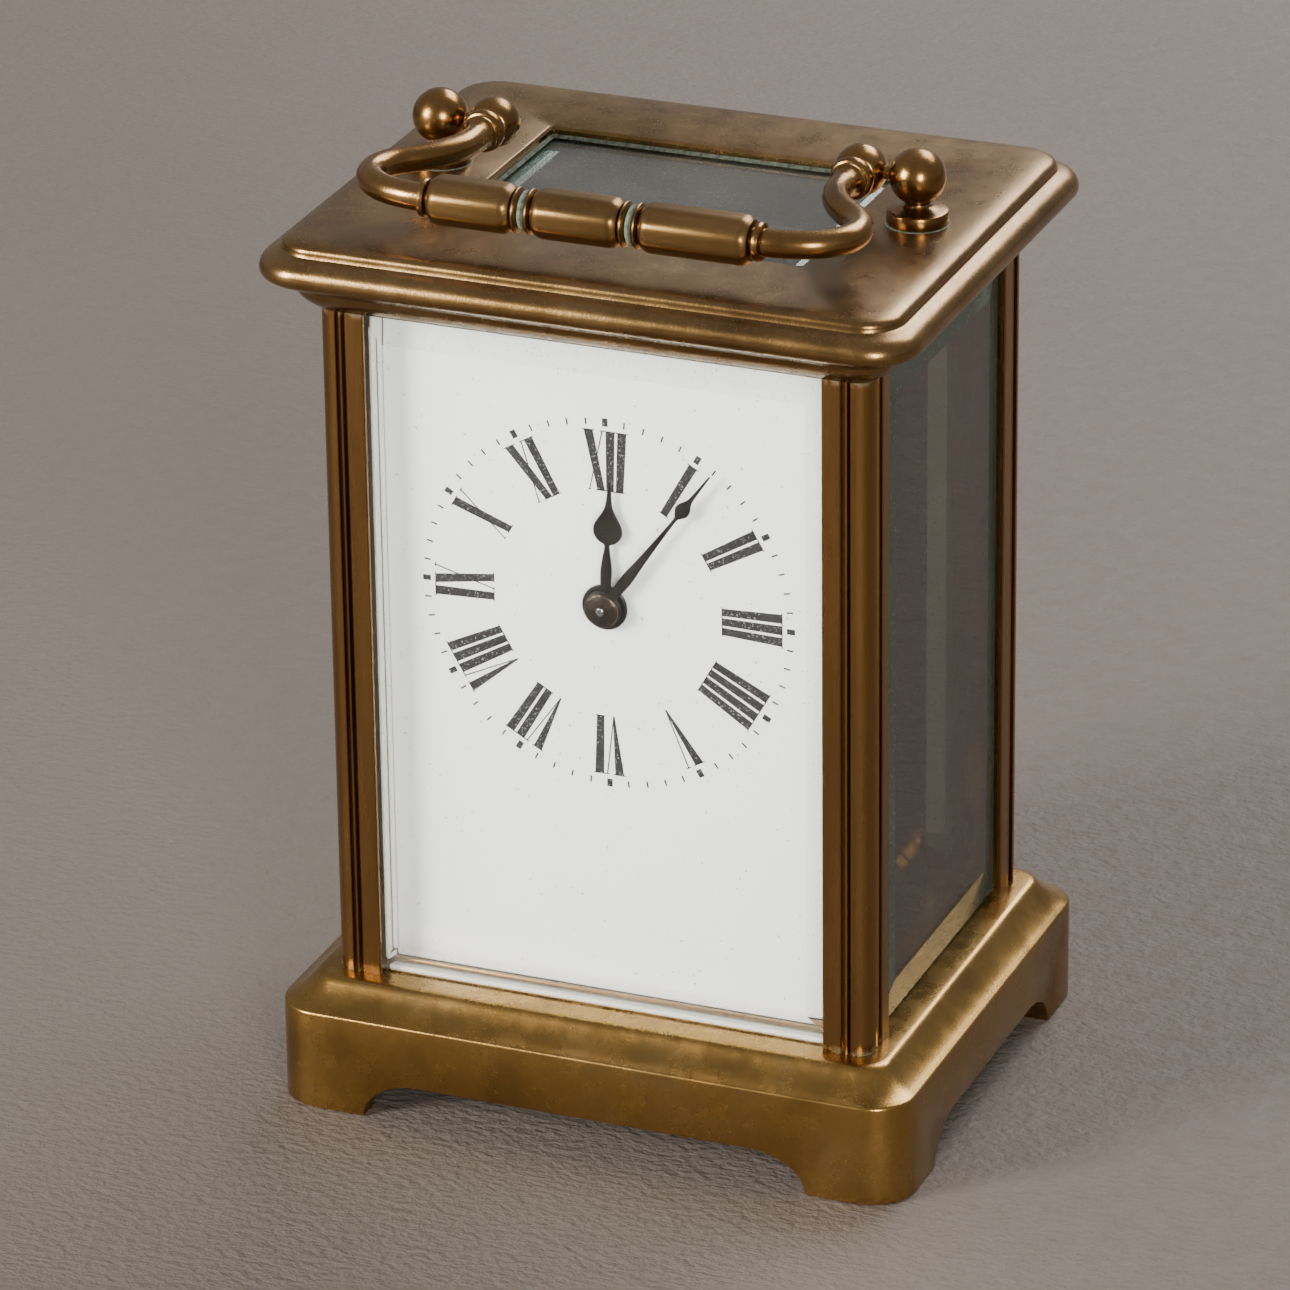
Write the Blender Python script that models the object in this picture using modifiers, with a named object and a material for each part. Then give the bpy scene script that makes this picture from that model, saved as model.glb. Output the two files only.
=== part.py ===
"""Brass carriage clock: a glazed case with a hinged rear door and a swinging handle, and inside it an
eight-day movement with its motion work, going train and platform escapement.

Frame: origin under the middle of the case at the foot of the base, +Z up, the dial faces -Y.
Sizes in this file are millimetres and become metres where an object is made."""

import math

import bmesh
import bpy
from mathutils import Matrix, Vector

MM = 0.001
GAP = 0.3                    # clearance kept between pieces that touch

# Driving sizes of the case
CASE_HALF_X = 34.0           # outer faces of the corner pillars
CASE_HALF_Y = 26.27
BASE_OVERHANG = 6.06         # base wall beyond the pillars
WALL_TOP = 12.8              # top of the base's upright wall
PLATEAU = 16.06              # floor that the pillars and glasses stand on
CORNICE_FOOT = 100.8
CASE_TOP = 109.9             # flat top of the cornice
BASE_WALL = 3.4
BASE_HOLLOW = 11.0           # height of the hollow under the floor
ARCH_HEIGHT = 4.9
ARCH_RUN = 7.0               # sideways run of an arch's curved end
FOOT_INNER_X = 28.2          # inner corners of the feet
FOOT_INNER_Y = 20.3

# Corner pillars and glasses
PILLAR_X = 5.86              # width of a pillar seen from the front
PILLAR_Y = 6.69              # and from the side
LIP = 0.55                   # brass in front of a glass edge
GLASS = 1.6
GROOVE = GLASS + 0.25
GROOVE_DEPTH = 1.6
WELL_X, WELL_Y = 22.0, 16.2  # opening over the top glass
REBATE = 2.0                 # how far the top glass runs under its lip
TOP_LIP = 1.2

# Rear door
DOOR_THICK = 2.6
STILE = 4.0
DOOR_AXIS = (-26.5, 24.85)   # x, y of the hinge pins
KNOB = (26.3, 58.0)

# Handle
POST_X = 29.7
HANDLE_Y = 1.0
HANDLE_Z = 115.5
POST_BALL = 3.3
END_BALL = 3.05
END_BALL_X = 22.85
ARM_WIRE = 1.65
GRIP_Y = HANDLE_Y - 25.7
GRIP_HALF = 19.8
GRIP_RADIUS = 3.0
ARM_ROUTE = [(22.8, -2.6), (22.5, -6.5), (23.2, -10.8), (25.2, -13.8), (28.0, -16.3), (29.0, -19.3),
             (28.2, -22.5), (24.8, -25.1), (20.2, -25.7)]   # x, y from the pivot

# Dial and hands
DIAL_Z = 66.9
DIAL_FACE = -21.2
DIAL_THICK = 1.2
HOUR_ANGLE = 3.0             # degrees clockwise from twelve
MINUTE_ANGLE = 36.0

# Movement
PLATE = 2.0
FRONT_PLATE = -15.6          # front face of the front plate
BACK_PLATE = 12.4            # front face of the back plate
PLATE_HALF_X = 25.0
PLATE_TOP = 93.1
MOVEMENT_POST = (21.5, (21.5, 88.0))
PLATFORM = (93.4, 94.8)

# Wheels: teeth, and the module of each meshing pair
BARREL_TEETH, SECOND_LEAVES, BARREL_MODULE = 60, 10, 0.50
SECOND_TEETH, CENTRE_LEAVES, SECOND_MODULE = 48, 8, 0.45
CENTRE_TEETH, THIRD_LEAVES, CENTRE_MODULE = 64, 8, 0.35
THIRD_TEETH, CONTRATE_LEAVES, THIRD_MODULE = 60, 8, 0.33
CONTRATE_TEETH, ESCAPE_LEAVES, CONTRATE_MODULE = 60, 6, 0.30
CANNON_LEAVES, MINUTE_TEETH, CANNON_MODULE = 10, 30, 0.36
MINUTE_LEAVES, HOUR_TEETH, HOUR_MODULE = 8, 32, 0.36
RATCHET_TEETH = 24
ESCAPE_TEETH = 15
BARREL_AT = (-4.0, 38.0)
CENTRE_AT = (0.0, DIAL_Z)
CONTRATE_AT = (-6.5, 82.5)

# Platform escapement, x and y
ESCAPE_Y = -5.2
LEVER_AT = (-2.1, -2.3)
BALANCE_AT = (2.9, 1.5)

FINISHES = {                 # colour, metallic, roughness
    "brass": ((0.42, 0.27, 0.10), 1.0, 0.38),
    "polished_brass": ((0.62, 0.44, 0.18), 1.0, 0.28),
    "steel": ((0.32, 0.32, 0.34), 1.0, 0.30),
    "blued_steel": ((0.03, 0.03, 0.04), 0.6, 0.40),
    "enamel": ((0.88, 0.88, 0.86), 0.0, 0.18),
    "glass": ((0.80, 0.86, 0.84), 0.0, 0.03),
}


def fresh_collection(name):
    made = bpy.data.collections.new(name)
    bpy.context.scene.collection.children.link(made)
    return made


for old in list(bpy.data.objects):
    bpy.data.objects.remove(old, do_unlink=True)
CLOCK = fresh_collection("carriage_clock")
CUTTERS = fresh_collection("cutters")


def material(name):
    found = bpy.data.materials.get(name)
    if found:
        return found
    made = bpy.data.materials.new(name)
    made.use_nodes = True
    shader = made.node_tree.nodes["Principled BSDF"]
    colour, metallic, roughness = FINISHES[name]
    shader.inputs["Base Color"].default_value = (*colour, 1.0)
    shader.inputs["Metallic"].default_value = metallic
    shader.inputs["Roughness"].default_value = roughness
    if name == "glass":
        shader.inputs["Transmission Weight"].default_value = 1.0
    return made


# ---------------------------------------------------------------- building blocks


def finish_object(obj, finish):
    """Puts an object among the clock's parts, or among the cutters when it has no finish."""
    if finish is None:
        CUTTERS.objects.link(obj)
        obj.hide_render = True
        obj.display_type = "WIRE"
    else:
        CLOCK.objects.link(obj)
        obj.data.materials.append(material(finish))
    return obj


def from_bmesh(name, bm, finish, smooth=True):
    for vert in bm.verts:
        vert.co *= MM
    mesh = bpy.data.meshes.new(name)
    bm.to_mesh(mesh)
    bm.free()
    if smooth:
        mesh.shade_smooth()
        mesh.set_sharp_from_angle(angle=math.radians(35))
    return finish_object(bpy.data.objects.new(name, mesh), finish)


def box(name, low, high, finish, soften=0.0):
    bm = bmesh.new()
    bmesh.ops.create_cube(bm, size=1)
    low, high = Vector(low), Vector(high)
    for vert in bm.verts:
        vert.co = (low + high) / 2 + Vector([c * s for c, s in zip(vert.co, high - low)])
    obj = from_bmesh(name, bm, finish, smooth=False)
    if soften:
        bevel = obj.modifiers.new("soften", "BEVEL")
        bevel.width = soften * MM
        bevel.segments = 1
    return obj


AXIS_TURN = {"X": (0, math.pi / 2, 0), "Y": (-math.pi / 2, 0, 0), "Z": (0, 0, 0)}


def placed(obj, axis, at):
    """Turns the local Z axis to a main axis and puts it through a point."""
    obj.rotation_euler = AXIS_TURN[axis]
    obj.location = Vector(at) * MM
    return obj


def turned(name, profile, axis, at, finish, steps=20):
    """A lathe piece. The profile holds (height, radius) pairs from the highest to the lowest."""
    mesh = bpy.data.meshes.new(name)
    points = [(radius * MM, 0, height * MM) for height, radius in profile]
    closed = profile[0][1] > 0
    edges = [(i, i + 1) for i in range(len(points) - 1)] + ([(len(points) - 1, 0)] if closed else [])
    mesh.from_pydata(points, edges, [])
    obj = finish_object(bpy.data.objects.new(name, mesh), finish)
    lathe = obj.modifiers.new("lathe", "SCREW")
    lathe.steps = lathe.render_steps = steps
    lathe.use_merge_vertices = True
    lathe.merge_threshold = 0.00001
    lathe.use_smooth_shade = True
    return placed(obj, axis, at)


def rod(name, low, high, radius, axis, at, finish, steps=16):
    return turned(name, [(high, 0), (high, radius), (low, radius), (low, 0)], axis, at, finish, steps)


def tube(name, low, high, inner, outer, axis, at, finish, steps=20):
    return turned(name, [(high, outer), (low, outer), (low, inner), (high, inner)], axis, at, finish, steps)


def ball_profile(centre, radius, top, bottom, points=7):
    """(height, radius) pairs round a ball between two heights."""
    first = math.acos(max(-1.0, min(1.0, (top - centre) / radius)))
    last = math.acos(max(-1.0, min(1.0, (bottom - centre) / radius)))
    angles = [first + (last - first) * i / (points - 1) for i in range(points)]
    return [(centre + radius * math.cos(a), radius * math.sin(a)) for a in angles]


def combine(target, tool, operation):
    change = target.modifiers.new(tool.name, "BOOLEAN")
    change.operation = operation
    change.object = tool
    change.solver = "EXACT"
    return target


def cut(target, *tools):
    for tool in tools:
        combine(target, tool, "DIFFERENCE")
    return target


def join(target, *tools):
    for tool in tools:
        combine(target, tool, "UNION")
    return target


def meshed(curve):
    """The mesh object that takes a curve's place, with its caps welded on."""
    bpy.context.view_layer.update()
    graph = bpy.context.evaluated_depsgraph_get()
    name, matrix = curve.name, curve.matrix_world.copy()
    mesh = bpy.data.meshes.new_from_object(curve.evaluated_get(graph))
    bm = bmesh.new()
    bm.from_mesh(mesh)
    bmesh.ops.remove_doubles(bm, verts=bm.verts, dist=0.00001)
    bmesh.ops.recalc_face_normals(bm, faces=bm.faces)
    bm.to_mesh(mesh)
    bm.free()
    holder = curve.users_collection[0]
    hidden = curve.hide_render
    bpy.data.objects.remove(curve, do_unlink=True)
    obj = bpy.data.objects.new(name, mesh)
    obj.matrix_world = matrix
    obj.hide_render = hidden
    obj.display_type = "WIRE" if hidden else "TEXTURED"
    holder.objects.link(obj)
    return obj


def flat(name, outlines, low, high, axis, at, finish):
    """A flat outline, with any holes as further outlines, extruded along an axis."""
    curve = bpy.data.curves.new(name, "CURVE")
    curve.dimensions = "2D"
    curve.fill_mode = "BOTH"
    curve.extrude = (high - low) / 2 * MM
    for outline in outlines:
        spline = curve.splines.new("POLY")
        spline.points.add(len(outline) - 1)
        for point, (x, y) in zip(spline.points, outline):
            point.co = (x * MM, y * MM, 0, 1)
        spline.use_cyclic_u = True
    obj = finish_object(bpy.data.objects.new(name, curve), finish)
    middle = {"X": (1, 0, 0), "Y": (0, 1, 0), "Z": (0, 0, 1)}[axis]
    placed(obj, axis, Vector(at) + Vector(middle) * (low + high) / 2)
    return meshed(obj)


def rounded_rectangle(half_x, half_y, radius, per_corner=5):
    """Points of a rectangle with round corners, counter-clockwise from the right."""
    points = []
    for quarter, (sx, sy) in enumerate([(1, 1), (-1, 1), (-1, -1), (1, -1)]):
        for i in range(per_corner):
            angle = math.pi / 2 * (quarter + i / (per_corner - 1))
            points.append((sx * (half_x - radius) + radius * math.cos(angle),
                           sy * (half_y - radius) + radius * math.sin(angle)))
    return points


def moulding(name, stations, finish):
    """A block whose plan is a rounded rectangle that grows and shrinks with height.

    Each station is (overhang beyond the case, corner radius, height), from the bottom up."""
    bm = bmesh.new()
    ring = None
    for overhang, radius, height in stations:
        plan = rounded_rectangle(CASE_HALF_X + overhang, CASE_HALF_Y + overhang, radius)
        if ring is None:
            ring = [bm.verts.new((x, y, height)) for x, y in plan]
            bottom = bm.faces.new(ring)
            bottom.normal_flip()
            edges = list(bottom.edges)
            continue
        grown = bmesh.ops.extrude_edge_only(bm, edges=edges)["geom"]
        edges = [item for item in grown if isinstance(item, bmesh.types.BMEdge)]
        following = {}
        for edge in edges:
            for vert in edge.verts:
                following[vert] = edge
        matched = []
        for old in ring:
            new = min(following, key=lambda vert: (vert.co - old.co).length)
            matched.append(new)
            del following[new]
        for vert, (x, y) in zip(matched, plan):
            vert.co = (x, y, height)
        ring = matched
    bm.faces.new(ring)
    bmesh.ops.recalc_face_normals(bm, faces=bm.faces)
    return from_bmesh(name, bm, finish)


# ---------------------------------------------------------------- gearing


def toothed(name, teeth, module, low, high, axis, at, phase, finish, height=(0.75, 1.15),
            width=(0.42, 0.20)):
    """A spur wheel or pinion. Each tooth is four points: two at the root and two at the tip."""
    bm = bmesh.new()
    ring = bmesh.ops.create_circle(bm, cap_ends=True, segments=4 * teeth, radius=1)["verts"]
    pitch_radius = module * teeth / 2
    radii = (pitch_radius - height[1] * module, pitch_radius + height[0] * module)
    step = 2 * math.pi / teeth
    spots = [(radii[0], -width[0] / 2), (radii[1], -width[1] / 2), (radii[1], width[1] / 2),
             (radii[0], width[0] / 2)]
    for number, vert in enumerate(sorted(ring, key=lambda v: math.atan2(v.co.y, v.co.x))):
        tooth, spot = divmod(number, 4)
        radius, offset = spots[spot]
        angle = phase + (tooth + offset) * step
        vert.co = (radius * math.cos(angle), radius * math.sin(angle), low)
    thicken(bm, high - low)
    return placed(from_bmesh(name, bm, finish, smooth=False), axis, at)


def saw_toothed(name, teeth, inner, outer, lean, low, high, axis, at, phase, finish):
    """A ratchet or escape wheel with pointed teeth that lean by a share of their pitch."""
    bm = bmesh.new()
    ring = bmesh.ops.create_circle(bm, cap_ends=True, segments=2 * teeth, radius=1)["verts"]
    step = 2 * math.pi / teeth
    for number, vert in enumerate(sorted(ring, key=lambda v: math.atan2(v.co.y, v.co.x))):
        tooth, tip = divmod(number, 2)
        angle = phase + (tooth + (lean if tip else 0.0)) * step
        radius = outer if tip else inner
        vert.co = (radius * math.cos(angle), radius * math.sin(angle), low)
    thicken(bm, high - low)
    return placed(from_bmesh(name, bm, finish, smooth=False), axis, at)


def thicken(bm, depth):
    """Extrudes a flat face upwards into a closed prism."""
    face = list(bm.faces)
    grown = bmesh.ops.extrude_face_region(bm, geom=face, use_keep_orig=True)["geom"]
    risen = [item for item in grown if isinstance(item, bmesh.types.BMVert)]
    bmesh.ops.translate(bm, verts=risen, vec=(0, 0, depth))
    bmesh.ops.recalc_face_normals(bm, faces=bm.faces)


def meeting(a, reach_a, b, reach_b):
    """The point at two given distances from two centres, on the side to the right of a towards b."""
    a, b = Vector(a), Vector(b)
    between = b - a
    along = (between.length_squared + reach_a**2 - reach_b**2) / (2 * between.length)
    aside = math.sqrt(reach_a**2 - along**2)
    forward = between.normalized()
    return tuple(a + forward * along + Vector((forward.y, -forward.x)) * aside)


def toward(a, b):
    """Direction from arbor a to arbor b, as a wheel on the Y axis sees it."""
    return math.atan2(-(b[1] - a[1]), b[0] - a[0])


def meshing_phase(phase, teeth, follower_teeth, direction):
    """Phase that puts a follower's gap where the driver's tooth is."""
    share = (direction - phase) * teeth / (2 * math.pi)
    return direction + math.pi - (0.5 - share) * 2 * math.pi / follower_teeth


def pair_distance(first, second, module):
    return (first + second) * module / 2


def arbor(name, centre, ends, radius, pivot, steps=12):
    """A steel arbor between the plates, with a thinner pivot at each end."""
    front, back = ends
    profile = [(back, 0), (back, pivot), (back - 1.9, pivot), (back - 1.9, radius),
               (front + 1.9, radius), (front + 1.9, pivot), (front, pivot), (front, 0)]
    return turned(name, profile, "Y", (centre[0], 0, centre[1]), "steel", steps)


def at_arbor(centre):
    return (centre[0], 0, centre[1])


# ---------------------------------------------------------------- case


def base():
    wall = BASE_OVERHANG
    body = moulding("base_moulding", [
        (wall, 5.5, 0.0), (wall, 5.5, WALL_TOP - 0.7), (wall - 0.5, 5.2, WALL_TOP),
        (wall - 1.6, 4.6, WALL_TOP + 0.7), (wall - 3.3, 3.8, WALL_TOP + 1.8), (1.5, 3.0, PLATEAU),
    ], "brass")
    hollow = box("base_hollow", (-CASE_HALF_X - wall + BASE_WALL, -CASE_HALF_Y - wall + BASE_WALL, -1),
                 (CASE_HALF_X + wall - BASE_WALL, CASE_HALF_Y + wall - BASE_WALL, BASE_HOLLOW), None)
    cut(body, hollow)
    for axis, inner in (("Y", FOOT_INNER_X), ("X", FOOT_INNER_Y)):
        reach = 45.0
        rise = [(inner - ARCH_RUN * (1 - math.cos(t)), ARCH_HEIGHT * math.sin(t))
                for t in [math.pi / 2 * i / 6 for i in range(7)]]
        outline = [(inner, -1.0)] + rise + [(-x, z) for x, z in reversed(rise)] + [(-inner, -1.0)]
        if axis == "Y":
            outline = [(x, -z) for x, z in outline]
        else:
            outline = [(-z, y) for y, z in outline]
        cut(body, flat("arch_along_" + axis, [outline], -reach, reach, axis, (0, 0, 0), None))
    return body


def cornice():
    body = moulding("top_cornice", [
        (0.3, 2.3, CORNICE_FOOT), (1.6, 3.0, CORNICE_FOOT + 1.2), (2.2, 3.4, CORNICE_FOOT + 2.2),
        (4.6, 5.0, CORNICE_FOOT + 2.5), (5.7, 5.8, CORNICE_FOOT + 3.2), (6.3, 6.4, CORNICE_FOOT + 4.6),
        (5.7, 5.9, CORNICE_FOOT + 6.0), (4.9, 5.4, CORNICE_FOOT + 6.7), (4.2, 5.0, CORNICE_FOOT + 7.4),
        (4.0, 4.9, CASE_TOP - 0.6), (3.4, 4.5, CASE_TOP),
    ], "brass")
    well = box("top_well", (-WELL_X, -WELL_Y, CORNICE_FOOT - 1), (WELL_X, WELL_Y, CASE_TOP + 1), None)
    seat = box("top_glass_seat", (-WELL_X - REBATE, -WELL_Y - REBATE, CORNICE_FOOT - 1),
               (WELL_X + REBATE, WELL_Y + REBATE, CASE_TOP - TOP_LIP), None)
    return cut(body, well, seat)


def pillar_section():
    """Outline of the front right pillar from its outer corner, inward along x and y.

    A flat strip beside each glass, a sunk bead, and a round corner between them."""
    strip, sink, corner = 2.3, 0.7, 2.3
    bead_x = PILLAR_X - strip - 0.65
    bead_y = PILLAR_Y - strip - 0.65
    round_corner = [(corner - corner * math.cos(t), corner - corner * math.sin(t))
                    for t in [math.pi / 2 * i / 6 for i in range(7)]]
    front = [(corner + 0.1, sink), (bead_x - 0.3, 0.15), (bead_x + 0.3, 0.15), (bead_x + 0.5, sink),
             (PILLAR_X - strip, 0.0), (PILLAR_X, 0.0)]
    side = [(0.0, PILLAR_Y), (0.0, PILLAR_Y - strip), (sink, bead_y + 0.5), (0.15, bead_y + 0.3),
            (0.15, bead_y - 0.3), (sink, corner + 0.1)]
    seat_x = [(PILLAR_X, LIP), (PILLAR_X - GROOVE_DEPTH, LIP), (PILLAR_X - GROOVE_DEPTH, LIP + GROOVE),
              (PILLAR_X, LIP + GROOVE)]
    seat_y = [(LIP + GROOVE, PILLAR_Y), (LIP + GROOVE, PILLAR_Y - GROOVE_DEPTH),
              (LIP, PILLAR_Y - GROOVE_DEPTH), (LIP, PILLAR_Y)]
    return side + round_corner + front + seat_x + [(PILLAR_X, PILLAR_Y)] + seat_y


def pillars():
    for side, sx in (("left", -1), ("right", 1)):
        for end, sy in (("front", -1), ("rear", 1)):
            outline = [(sx * (CASE_HALF_X - u), sy * (CASE_HALF_Y - v)) for u, v in pillar_section()]
            flat(f"corner_pillar_{end}_{side}", [outline], PLATEAU + GAP, CORNICE_FOOT - GAP, "Z",
                 (0, 0, 0), "brass")


def bevelled_pane(name, low, high, facing, finish="glass", edge=0.9, border=3.4):
    """A glass plate whose outer face has a wide bevel all round. facing names its outer face."""
    bm = bmesh.new()
    bmesh.ops.create_cube(bm, size=1)
    low, high = Vector(low), Vector(high)
    for vert in bm.verts:
        vert.co = (low + high) / 2 + Vector([c * s for c, s in zip(vert.co, high - low)])
    bm.normal_update()
    outer = max(bm.faces, key=lambda face: face.normal.dot(Vector(facing)))
    bmesh.ops.inset_region(bm, faces=[outer], thickness=border, depth=0)
    rim = {vert for vert in bm.verts if vert.co.dot(Vector(facing)) > outer.calc_center_median().dot(
        Vector(facing)) - 1e-6} - set(outer.verts)
    bmesh.ops.translate(bm, verts=list(rim), vec=Vector(facing) * -edge)
    return from_bmesh(name, bm, finish, smooth=False)


def glasses():
    inset_x = CASE_HALF_X - PILLAR_X + GROOVE_DEPTH - 0.2
    inset_y = CASE_HALF_Y - PILLAR_Y + GROOVE_DEPTH - 0.2
    low_z, high_z = PLATEAU + GAP, CORNICE_FOOT - GAP
    front = -CASE_HALF_Y + LIP + 0.12
    bevelled_pane("front_glass", (-inset_x, front, low_z), (inset_x, front + GLASS, high_z), (0, -1, 0))
    outer = CASE_HALF_X - LIP - 0.12
    for side, sx in (("left", -1), ("right", 1)):
        near, far = sorted((sx * outer, sx * (outer - GLASS)))
        bevelled_pane(f"{side}_glass", (near, -inset_y, low_z), (far, inset_y, high_z), (sx, 0, 0))
    reach = REBATE - 0.3
    top = CASE_TOP - TOP_LIP - 0.15
    bevelled_pane("top_glass", (-WELL_X - reach, -WELL_Y - reach, top - GLASS),
                  (WELL_X + reach, WELL_Y + reach, top), (0, 0, 1))


def case_screws(case_base):
    """Four screws through the floor, one under each corner pillar."""
    spots = [(f"case_screw_{end}_{side}", sx * 30.0, sy * 22.0)
             for side, sx in (("left", -1), ("right", 1)) for end, sy in (("front", -1), ("rear", 1))]
    for name, x, y in spots:
        head, shank, tip = 2.3, 1.2, PLATEAU
        turned(name, [(tip, 0), (tip, shank), (BASE_HOLLOW - GAP, shank), (BASE_HOLLOW - GAP, head),
                      (BASE_HOLLOW - 1.6, head), (BASE_HOLLOW - 1.9, head - 0.3), (BASE_HOLLOW - 1.9, 0)],
               "Z", (x, y, 0), "steel", 12)
        hole = rod(name + "_hole", BASE_HOLLOW - 1, PLATEAU + 1, shank + GAP, "Z", (x, y, 0), None, 12)
        cut(case_base, hole)


# ---------------------------------------------------------------- rear door


def door(case_base, case_top):
    x_axis, y_axis = DOOR_AXIS
    half = CASE_HALF_X - PILLAR_X - GAP
    low_z, high_z = PLATEAU + GAP, CORNICE_FOOT - GAP
    y_low, y_high = y_axis - DOOR_THICK / 2, y_axis + DOOR_THICK / 2
    frame = box("rear_door_frame", (x_axis, y_low, low_z), (half, y_high, high_z), "brass")
    join(frame, rod("door_edge", low_z, high_z, DOOR_THICK / 2, "Z", (x_axis, y_axis, 0), None, 16))
    inner_x = half - STILE
    window = box("door_window", (-inner_x, y_low - 1, low_z + STILE),
                 (inner_x, y_high + 1, high_z - STILE), None)
    seat = 1.2
    rebate = box("door_rebate", (-inner_x - seat, y_low - 1, low_z + STILE - seat),
                 (inner_x + seat, y_high - 0.7, high_z - STILE + seat), None)
    cut(frame, window, rebate)
    fit = seat - GAP
    bevelled_pane("rear_door_glass", (-inner_x - fit, y_high - 0.7 - GAP / 2 - 1.5, low_z + STILE - fit),
                  (inner_x + fit, y_high - 0.7 - GAP / 2, high_z - STILE + fit), (0, 1, 0), edge=0.7)
    pin, depth = 0.7, 3.2
    for end, foot, tip, holder in (("bottom", PLATEAU - depth + 0.4, PLATEAU + depth, case_base),
                                   ("top", CORNICE_FOOT - depth, CORNICE_FOOT + depth - 0.4, case_top)):
        at = (x_axis, y_axis, 0)
        rod(f"door_hinge_pin_{end}", foot, tip, pin, "Z", at, "steel", 12)
        hole = rod(f"door_pin_{end}_hole", foot - GAP, tip + GAP, pin + 0.25, "Z", at, None, 12)
        cut(frame, hole)
        cut(holder, hole)
    x, z = KNOB
    seat = y_high
    turned("door_knob", [(seat + 5.2, 0), (seat + 4.85, 1.3), (seat + 4.4, 1.9), (seat + 3.4, 2.1),
                         (seat + 2.4, 1.8), (seat + 1.7, 0.9), (seat + 1.0, 0.9), (seat + 0.9, 1.5),
                         (seat + GAP, 1.5), (seat + GAP, 0.6), (seat - 1.6, 0.6), (seat - 1.6, 0)],
           "Y", (x, 0, z), "brass", 16)
    cut(frame, rod("knob_hole", seat - 1.9, seat + 1, 0.9, "Y", (x, 0, z), None, 12))


# ---------------------------------------------------------------- handle


def handle(case_top):
    for side, sx in (("left", -1), ("right", 1)):
        post = turned(f"handle_post_{side}",
                      [(HANDLE_Z + POST_BALL, 0)]
                      + ball_profile(HANDLE_Z, POST_BALL, HANDLE_Z + POST_BALL - 0.1, HANDLE_Z - 2.9, 7)
                      + [(CASE_TOP + 1.9, 1.25), (CASE_TOP + 1.4, 1.9), (CASE_TOP + 1.25, 3.3),
                         (CASE_TOP + 0.9, 3.65), (CASE_TOP + GAP, 3.65), (CASE_TOP + GAP, 1.3),
                         (CASE_TOP - 4.0, 1.3), (CASE_TOP - 4.0, 0)],
                      "Z", (sx * POST_X, HANDLE_Y, 0), "brass", 16)
        cut(case_top, rod(f"post_hole_{side}", CASE_TOP - 4.3, CASE_TOP + 1, 1.6, "Z",
                          (sx * POST_X, HANDLE_Y, 0), None, 12))
        pivot = (0, HANDLE_Y, HANDLE_Z)
        ends = sorted((sx * (END_BALL_X + 0.6), sx * (POST_X - 1.0)))
        join(post, rod(f"handle_pivot_{side}", *ends, 1.0, "X", pivot, None, 12))
        hole = sorted((sx * (END_BALL_X + 0.3), sx * POST_X))
        socket = rod(f"pivot_hole_{side}", *hole, 1.3, "X", pivot, None, 12)
        arm = turned(f"handle_arm_{side}",
                     [(2.75, 0), (2.75, 1.3)] + ball_profile(0, END_BALL, 2.6, -2.4, 7)
                     + [(-3.0, 1.7), (-3.3, 2.4), (-4.3, 2.5), (-4.8, 2.1), (-6.6, 1.75), (-6.6, 0)],
                     "Y", (sx * END_BALL_X, HANDLE_Y, HANDLE_Z), "brass", 16)
        join(arm, arm_wire(f"arm_wire_{side}", sx))
        cut(arm, socket)
    grip()


def arm_wire(name, sx):
    """The round wire from an end ball out and forward, and back in to the grip."""
    curve = bpy.data.curves.new(name, "CURVE")
    curve.dimensions = "3D"
    curve.bevel_depth = ARM_WIRE * MM
    curve.bevel_resolution = 2
    curve.use_fill_caps = True
    smooth = smoothed(ARM_ROUTE, 2)
    spline = curve.splines.new("POLY")
    spline.points.add(len(smooth) - 1)
    for point, (x, y) in zip(spline.points, smooth):
        point.co = (sx * x * MM, (HANDLE_Y + y) * MM, HANDLE_Z * MM, 1)
    return meshed(finish_object(bpy.data.objects.new(name, curve), None))


def smoothed(points, per_span):
    """Catmull-Rom points through a route."""
    route = [Vector(p) for p in points]
    ends = [route[0] * 2 - route[1]] + route + [route[-1] * 2 - route[-2]]
    made = []
    for a, b, c, d in zip(ends, ends[1:], ends[2:], ends[3:]):
        for i in range(per_span):
            t = i / per_span
            made.append(0.5 * ((2 * b) + (c - a) * t + (2 * a - 5 * b + 4 * c - d) * t * t
                               + (3 * b - a - 3 * c + d) * t**3))
    return [tuple(p) for p in made] + [points[-1]]


def grip():
    """Three eight-sided lengths with grooved rings between them and a collar at each end."""
    length = (2 * GRIP_HALF - 2 * 1.6 - 2 * 1.5) / 3
    profile = [(GRIP_HALF, 0), (GRIP_HALF, 1.9), (GRIP_HALF - 0.4, 2.2), (GRIP_HALF - 1.2, 2.2),
               (GRIP_HALF - 1.5, 2.0)]
    top = GRIP_HALF - 1.6
    for number in range(3):
        profile += [(top - 0.1, GRIP_RADIUS - 0.7), (top - 0.9, GRIP_RADIUS), (top - length + 0.9, GRIP_RADIUS),
                    (top - length + 0.1, GRIP_RADIUS - 0.7)]
        top -= length
        if number < 2:
            profile += [(top - 0.2, 2.1), (top - 0.75, 2.3), (top - 1.3, 2.1)]
            top -= 1.5
    profile += [(-r[0], r[1]) for r in reversed(profile[:5])]
    turned("handle_grip", profile, "X", (0, GRIP_Y, HANDLE_Z), "brass", 8)


# ---------------------------------------------------------------- dial and hands


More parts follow.
